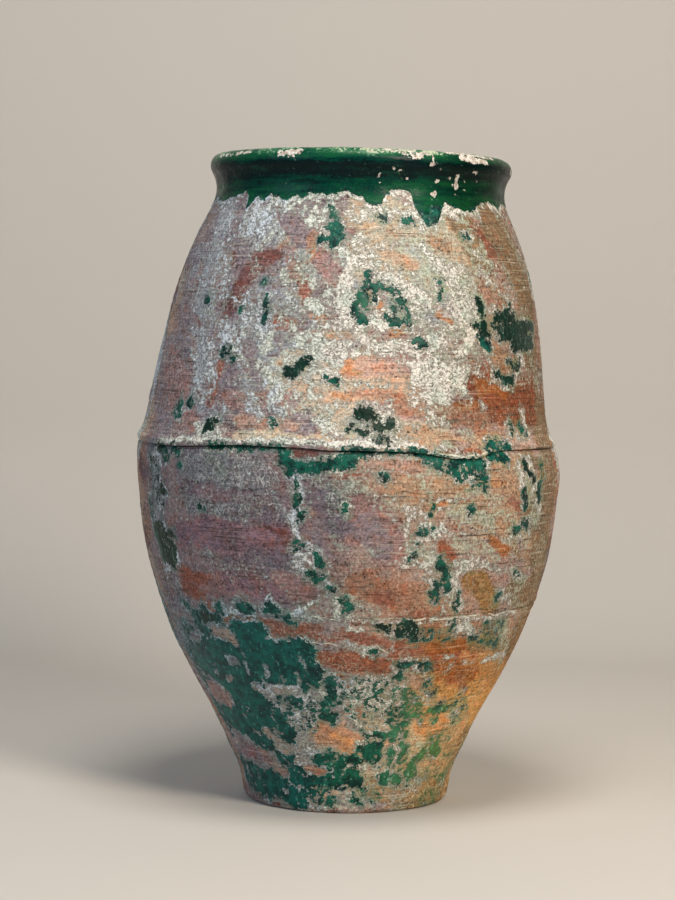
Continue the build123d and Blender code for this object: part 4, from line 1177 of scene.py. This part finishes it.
def honey_glaze():
    """The brown-yellow glaze inside, streaked downwards."""
    s = Shader("honey_glaze")
    runs = s.noise(22, 6, 0.6, stretch=(1, 1, 0.18))
    cloud = s.noise(9, 4, 0.6, shift=(2, 1, 1))
    fine = s.noise(180, 5, 0.6)
    tone = 0.5 + s.swing(runs, 0.35) + s.swing(cloud, 0.3)
    colour = s.between(s.step(tone, 0.1, 0.9), "honey_dark", "honey")
    inputs = {"Vector": s.place, "Scale": 90}
    crackle = s.node("ShaderNodeTexVoronoi", inputs, "Distance", feature="DISTANCE_TO_EDGE")
    craze = s.step(crackle, 0.0, 0.05)
    colour = s.paint(colour, s.span(craze, 0, 1, 0.5, 0), "honey_craze")
    s.bump(runs * 1.2 + fine * 0.2, 0.6)
    return s.finish(colour, s.span(fine, 0.3, 0.7, 0.18, 0.38))


def plain_clay():
    """Fired clay that is never seen from outside."""
    s = Shader("hidden_clay")
    grain = s.noise(140, 6, 0.65)
    colour = s.between(s.step(grain, 0.35, 0.65), "plain_clay_dark", "plain_clay")
    s.bump(grain, 0.6)
    return s.finish(colour, s.span(grain, 0.3, 0.7, 0.75, 0.92))


CLAY_SURFACE = weathered()
GLAZE_SURFACE = rim_glaze()


def mesh_object(name, points, sharp_rows, material, nodes, data):
    """A closed ring of clay or glaze: rows of points round the jar, joined row to row."""
    rows, columns = points.shape[:2]
    low = np.arange(rows * columns).reshape(rows, columns)
    high = np.roll(low, -1, axis=0)
    quads = np.stack([low, np.roll(low, -1, axis=1), np.roll(high, -1, axis=1), high], -1).reshape(-1, 4)
    mesh = bpy.data.meshes.new(name)
    mesh.from_pydata(points.reshape(-1, 3).tolist(), [], quads.tolist())
    mesh.polygons.foreach_set("use_smooth", np.ones(len(mesh.polygons), bool))
    edges = np.empty(len(mesh.edges) * 2, int)
    mesh.edges.foreach_get("vertices", edges)
    row_of = edges.reshape(-1, 2) // columns
    flags = (row_of[:, 0] == row_of[:, 1]) & np.isin(row_of[:, 0], sharp_rows)
    mesh.attributes.new("sharp_edge", "BOOLEAN", "EDGE").data.foreach_set("value", flags)
    for key, values in data.items():
        if values.ndim == 3:
            filled = np.concatenate([values, np.ones(values.shape[:2] + (1,))], -1)
            layer = mesh.attributes.new(key, "FLOAT_COLOR", "POINT")
            layer.data.foreach_set("color", filled.astype(np.float32).ravel())
        else:
            layer = mesh.attributes.new(key, "FLOAT", "POINT")
            layer.data.foreach_set("value", values.astype(np.float32).ravel())
    mesh.update()
    piece = bpy.data.objects.new(name, mesh)
    bpy.context.scene.collection.objects.link(piece)
    mesh.materials.append(material)
    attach(piece, "root")
    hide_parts(*nodes)


def clay_ring(name, face, back, sharp_rows, data):
    """A ring of clay from its outer face and the rows of points behind it."""
    points = np.concatenate([face, np.array(back)])
    data = with_hidden_rows(data, len(back))
    mesh_object(name, points, sharp_rows, CLAY_SURFACE, [name], data)


def wall_ring(name, levels, inner):
    """A ring of the wall: the outer face on the levels, and inner points as level and depth."""
    angle, level = np.meshgrid(ANGLES, levels)
    moved = level + round_table(RIDGE_LINE, angle) * np.exp(-((level - RIDGE) / LINE_REACH) ** 2)
    radius = wall_radius(angle, level)
    data = layers(*measured(place(angle, radius, moved)))
    radius = radius + film(data["green"], data["white"], angle, level)
    back = [plain_row(curve(WALL_LINE, float(height)) - depth, height) for height, depth in inner]
    count = len(levels)
    sharp_rows = [0, *range(count - 1, count + len(back))]
    clay_ring(name, place(angle, radius, moved), back, sharp_rows, data)


# The foot's worn edge, and how near the underside comes to the axis without closing to a point
SLAB_EDGE = 7.0
AXIS_GAP = 0.02


def base_slab():
    """The foot: worn round at its lower edge, flat underneath."""
    turn = np.radians(np.linspace(90, 12, 6))
    levels = np.concatenate([SLAB_EDGE * (1 - np.sin(turn)), even(SLAB_EDGE * 0.9, SLAB_TOP, 2.6)])
    angle, level = np.meshgrid(ANGLES, levels)
    wear = SLAB_EDGE + 1.5 * lattice(angle, level * 0, 40, 301)
    inward = wear - np.sqrt(np.maximum(wear ** 2 - np.maximum(wear - level, 0) ** 2, 0))
    radius = curve([(0, FOOT_RADIUS), (14, 153.5), (SLAB_TOP, SLAB_TOP_RADIUS)], level) - inward
    radius = radius + ramp(level, 2, 10) * 0.5 * layered(angle, level, 30, 311, 2)
    data = layers(*measured(place(angle, radius, level)))
    radius = radius + film(data["green"], data["white"], angle, level) * ramp(level, 1, 6)
    inner = [(SLAB_TOP_RADIUS - 30, SLAB_TOP), (AXIS_GAP, SLAB_TOP), (AXIS_GAP, 0), (FOOT_RADIUS - 20, 0)]
    back = [plain_row(*pair) for pair in inner]
    count = len(levels)
    clay_ring("base_slab", place(angle, radius, level), back, [count - 1, count], data)


# Spacing of the wall's rows, half the height of the coils in the seams, and the top of the ridge's coil
STEP = 2.9
COIL = 6.0
NECK_COIL = 5.5
RIDGE_TOP = 548.0

# Drums and coils, from the ground up
base_slab()
wall_ring("lower_drum", even(SLAB_TOP, LOWER_SEAM - COIL, STEP), [
    (LOWER_SEAM - COIL, 14), (LOWER_SEAM, 15), (LOWER_SEAM, WALL),
    *[(level, WALL) for level in even(275, 50, 25)],
    (SLAB_TOP, WALL),
])
wall_ring("lower_seam_coil", even(LOWER_SEAM - COIL, LOWER_SEAM + COIL, 0.8), [
    (LOWER_SEAM + COIL, 13.5), (LOWER_SEAM, 14.5), (LOWER_SEAM - COIL, 13.5),
])
wall_ring("belly_drum", np.concatenate([even(LOWER_SEAM + COIL, 520, STEP), even(522, 531, 1.1)]), [
    (RIDGE - 2, 14),
    *[(level, WALL) for level in even(RIDGE - 2, LOWER_SEAM, 25)],
    (LOWER_SEAM, 15), (LOWER_SEAM + COIL, 14),
])
wall_ring("ridge_coil", even(RIDGE - 0.6, RIDGE_TOP, 0.9), [(RIDGE_TOP, 3), (RIDGE - 0.6, 13)])
wall_ring("shoulder_drum", even(RIDGE_TOP, NECK_SEAM - NECK_COIL, STEP), [
    (NECK_SEAM - NECK_COIL, 12), (NECK_SEAM, 13), (NECK_SEAM, WALL),
    *[(level, WALL) for level in even(860, 550, 26)],
    (RIDGE, WALL), (RIDGE, 13.5), (RIDGE_TOP, 3.5),
])


def roll_points(turn, grow):
    """Radius and rise of a point round the rolled rim."""
    turn = np.radians(turn)
    reach = ROLL_RADIUS + grow
    return ROLL_CENTRE[0] + reach * np.cos(turn), ROLL_CENTRE[1] + reach * np.sin(turn)


def circle_through(p, q, r):
    """Centre and radius of the circle through three points."""
    (ax, ay), (bx, by), (cx, cy) = p, q, r
    a, b, c = ax * ax + ay * ay, bx * bx + by * by, cx * cx + cy * cy
    d = 2 * (ax * (by - cy) + bx * (cy - ay) + cx * (ay - by))
    ux = (a * (by - cy) + b * (cy - ay) + c * (ay - by)) / d
    uy = (a * (cx - bx) + b * (ax - cx) + c * (bx - ax)) / d
    return ux, uy, math.hypot(ax - ux, ay - uy)


# The collar's outline in the neck's own plane: an arc from the seam through the pinch to the roll
ROLL_END = roll_points(ROLL_END_DEGREES, 0)
NECK_X, NECK_Y, NECK_CURVE = circle_through((NECK_SEAM_RADIUS, 0), NECK_PINCH, ROLL_END)

# Thickness of the rim's glaze
GLAZE_COAT = 1.1


def neck_radius(angle, level):
    """Outer radius of the wall and neck, above and below the neck's seam."""
    rise = np.clip(level - NECK_SEAM, 0, ROLL_END[1])
    neck = NECK_X - np.sqrt(NECK_CURVE ** 2 - (rise - NECK_Y) ** 2) + hand_work(angle, level)
    return np.where(level > NECK_SEAM, neck, wall_radius(angle, level))


def plain_rows(pairs):
    """Radius and level of rows that are even all round, from radius and rise above the neck's seam."""
    radius, rise = np.array(pairs, float).T[:, :, None] + np.zeros(COLUMNS)
    return radius, NECK_SEAM + rise


def noise_round(height, cell, seed):
    """Noise from -1 to 1 round the jar at one height."""
    return lattice(ANGLES, np.full(COLUMNS, float(height)), cell, seed)


def neck_coil():
    """The coil in the neck's seam, smoothed into the wall."""
    levels = even(NECK_SEAM - NECK_COIL, NECK_SEAM + NECK_COIL, 1.1)
    angle, level = np.meshgrid(ANGLES, levels)
    radius = neck_radius(angle, level)
    data = layers(*measured(place(angle, radius, level)))
    radius = radius + neck_film(data, angle, level)
    inner = [(205, NECK_COIL), (203.5, 0), (206, -NECK_COIL)]
    back = [plain_row(distance, NECK_SEAM + rise) for distance, rise in inner]
    count = len(levels)
    sharp_rows = [0, *range(count - 1, count + len(back))]
    clay_ring("neck_seam_coil", place(angle, radius, level), back, sharp_rows, data)


def rim_collar():
    """The clay of the neck and rolled rim, which the glaze covers."""
    angle, level = np.meshgrid(ANGLES, NECK_SEAM + even(NECK_COIL, ROLL_END[1], 2.6))
    roll = [roll_points(turn, -0.3) for turn in np.linspace(-30, 180, 20)]
    throat = [(190.3, 40), (191.5, 25), (193, 12), (194.7, 0.3), (203, 0.3), (204.5, NECK_COIL)]
    inner_radius, inner_level = plain_rows(roll + throat)
    outer_rows = len(level)
    radius = np.concatenate([neck_radius(angle, level), inner_radius])
    level = np.concatenate([level, inner_level])
    total = len(level)
    angle = np.broadcast_to(ANGLES, level.shape)
    data = layers(*measured(place(angle, radius, level)))
    seen = level < NECK_SEAM + ROLL_END[1] - 8
    outside = np.arange(total)[:, None] < outer_rows
    radius = radius + neck_film(data, angle, level) * seen * outside - 0.3 * ~seen
    sharp_rows = [0, total - 3, total - 2, total - 1]
    points = place(angle, radius, level)
    mesh_object("rim_collar", points, sharp_rows, CLAY_SURFACE, ["rim_collar"], data)


def glaze_coat():
    """The green coat: from the throat over the roll, down the neck and on to the shoulder."""
    ragged = 2.2 * noise_round(0, 9, 401) + 1.7 * noise_round(50, 4.5, 411)
    edge = round_table(GLAZE_EDGE, ANGLES) + ragged
    edge = edge + np.radians(NECK_TIP) * NECK_SEAM_RADIUS * np.sin(np.radians(ANGLES)) + 1.0
    top = NECK_SEAM + ROLL_END[1]
    shares = np.linspace(0, 1, 40)[:, None]
    fall = top + (edge - top) * shares
    angle = np.broadcast_to(ANGLES, fall.shape)
    uneven = 0.35 * layered(angle, fall, 24, 421, 2) * ramp(shares, 0, 0.04)
    taper = np.sqrt(np.clip((1 - shares) / 0.05, 0, 1))
    under = neck_radius(angle, fall)
    face = under + (GLAZE_COAT + uneven) * (0.15 + 0.85 * taper)

    throat = plain_rows([(193.3, 0.6), (191.6, 14), (190.2, 28), (189.1, 41)])
    wave = 0.45 * noise_round(0, 70, 431) + 0.3 * noise_round(0, 22, 441)
    roll_radius, roll_level = [], []
    for turn in np.linspace(180, -27, 34):
        distance, rise = roll_points(turn, GLAZE_COAT)
        across, up = math.cos(math.radians(turn)), math.sin(math.radians(turn))
        swell = wave * max(0.0, up) + 0.25 * noise_round(turn * 0.4, 30, 451)
        roll_radius.append(distance + swell * across)
        roll_level.append(NECK_SEAM + rise + swell * up)
    inner_roll = [roll_points(turn, -0.6) for turn in np.linspace(-27, 180, 12)]
    back = plain_rows(inner_roll + [(190.8, 41), (195.2, 0.6)])

    radius = np.concatenate([throat[0], roll_radius, face, under[::-2] - 0.25, back[0]])
    level = np.concatenate([throat[1], roll_level, fall, fall[::-2], back[1]])
    points = place(np.broadcast_to(ANGLES, radius.shape), radius, level)
    a, z = measured(points)
    chip = strokes(a, z, CHIPS, 2.2)
    # the throat and the inner side of the roll have no chips
    chip[:8] = FAR
    # darkest under the roll and lighter on its top: partly pooled glaze, partly painted shade underneath
    # and painted highlight on top
    pool = ramp(z, 905, 918) * ramp(-z, -941, -928)
    pool = pool - 0.55 * ramp(z, 934, 944) - 0.35 * ramp(-z, -896, -880)
    pool = pool + 0.25 * layered(a, z, 40, 461, 2) - 0.1 * ramp(a, 5, 30) * ramp(-a, -75, -50)
    # paler along the top of the roll and on part of its front: partly worn glaze and partly a painted
    # highlight on the top
    worn = -1.0 + 0.95 * ramp(z, 938, 947) + 0.5 * layered(a, z, 34, 471, 2)
    worn = worn + 0.5 * ramp(a, -2, 6) * ramp(-a, -30, -22) * ramp(z, 934, 942)
    data = {"chip": chip, "pool": pool, "worn": worn}
    lower_edge = len(throat[0]) + len(roll_radius) + len(shares) - 1
    sharp_rows = [lower_edge, len(points) - 1]
    mesh_object("rim_glaze", points, sharp_rows, GLAZE_SURFACE, ["rim_glaze"], data)


neck_coil()
rim_collar()
glaze_coat()

# The two pieces whose CAD shape is right keep it and get a surface
for node, material in (("interior_glaze", honey_glaze()), ("corner_coil", plain_clay())):
    for material_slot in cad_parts[node].material_slots:
        material_slot.material = material


def stage_surface(name, colour):
    """A plain matt surface, seen from its front only."""
    s = Shader(name)
    s.finish(colour, 0.9)
    behind = s.node("ShaderNodeNewGeometry", {}, "Backfacing")
    clear = s.node("ShaderNodeBsdfTransparent", {})
    front = Value(s, s.surface.outputs[0])
    join = s.node("ShaderNodeMixShader", {0: behind, 1: front, 2: clear})
    s.put(s.tree.nodes["Material Output"].inputs["Surface"], join)
    return s.material


def add_object(name, data):
    """A new object of the scene."""
    thing = bpy.data.objects.new(name, data)
    bpy.context.scene.collection.objects.link(thing)
    return thing


def sheet(name, rows, colour):
    """A sheet of the stage, from rows of two points each."""
    mesh = bpy.data.meshes.new(name)
    faces = [(k, k + 1, k + 3, k + 2) for k in range(0, 2 * len(rows) - 2, 2)]
    mesh.from_pydata([point for row in rows for point in row], [], faces)
    mesh.polygons.foreach_set("use_smooth", [True] * len(faces))
    mesh.materials.append(stage_surface(name, colour))
    add_object(name, mesh)


# The stage in metres: half its width, how far back the backdrop stands, the bend between floor and
# backdrop, the floor's height and the backdrop's top
HALF = 6.0
BACK = 1.9
BEND = 0.5
FLOOR = -0.0004
BACKDROP_TOP = 4.0
STAGE_COLOUR = (0.66, 0.62, 0.57)

# The height on the jar's axis that the lamps are turned to, and the light from all round
LAMP_AIM = (0, 0, 0.6)
SKY_COLOUR = (0.78, 0.88, 1.0, 1)
SKY_STRENGTH = 0.16

lines = [(-HALF, FLOOR)]
for turn in np.radians(np.linspace(0, 90, 13)).tolist():
    lines.append((BACK - BEND + BEND * math.sin(turn), BEND * (1 - math.cos(turn)) + FLOOR))
lines.append((BACK, BACKDROP_TOP))
sheet("floor_and_backdrop", [[(-HALF, y, z), (HALF, y, z)] for y, z in lines], STAGE_COLOUR)


def lamp(name, place_at, size, power, colour):
    """A round soft lamp, turned to the jar."""
    light = bpy.data.lights.new(name, "AREA")
    light.shape = "DISK"
    light.size = size
    light.energy = power
    light.color = colour
    thing = add_object(name, light)
    thing.location = place_at
    way = mathutils.Vector(LAMP_AIM) - mathutils.Vector(place_at)
    thing.rotation_euler = way.to_track_quat("-Z", "Y").to_euler()


lamp("key", (1.7, -2.8, 2.5), 1.1, 89, (1.0, 0.90, 0.77))
lamp("fill", (-2.8, -2.0, 2.0), 2.0, 25, (0.62, 0.78, 1.0))
lamp("top", (0.1, -0.9, 3.3), 1.2, 50, (1.0, 0.95, 0.86))

scene = bpy.context.scene
scene.view_settings.view_transform = "Standard"
scene.world = bpy.data.worlds.new("plain")
scene.world.use_nodes = True
sky = scene.world.node_tree.nodes["Background"]
sky.inputs["Color"].default_value = SKY_COLOUR
sky.inputs["Strength"].default_value = SKY_STRENGTH

# The camera from which the photograph's view comes out: millimetres for the lens, metres for the place,
# and degrees for how far it looks down and leans
SENSOR = 36.0
LENS = 95.2
CAMERA_PLACE = (-0.01655, -3.55073, 0.69629)
LOOKS_DOWN = 2.886
LEANS = 0.5

camera_data = bpy.data.cameras.new("camera")
camera_data.sensor_width = SENSOR
camera_data.lens = LENS
camera = add_object("camera", camera_data)
camera.location = CAMERA_PLACE
pitch = mathutils.Matrix.Rotation(math.radians(90 - LOOKS_DOWN), 3, "X")
roll = mathutils.Matrix.Rotation(math.radians(LEANS), 3, "Z")
camera.rotation_euler = (pitch @ roll).to_euler()
scene.camera = camera
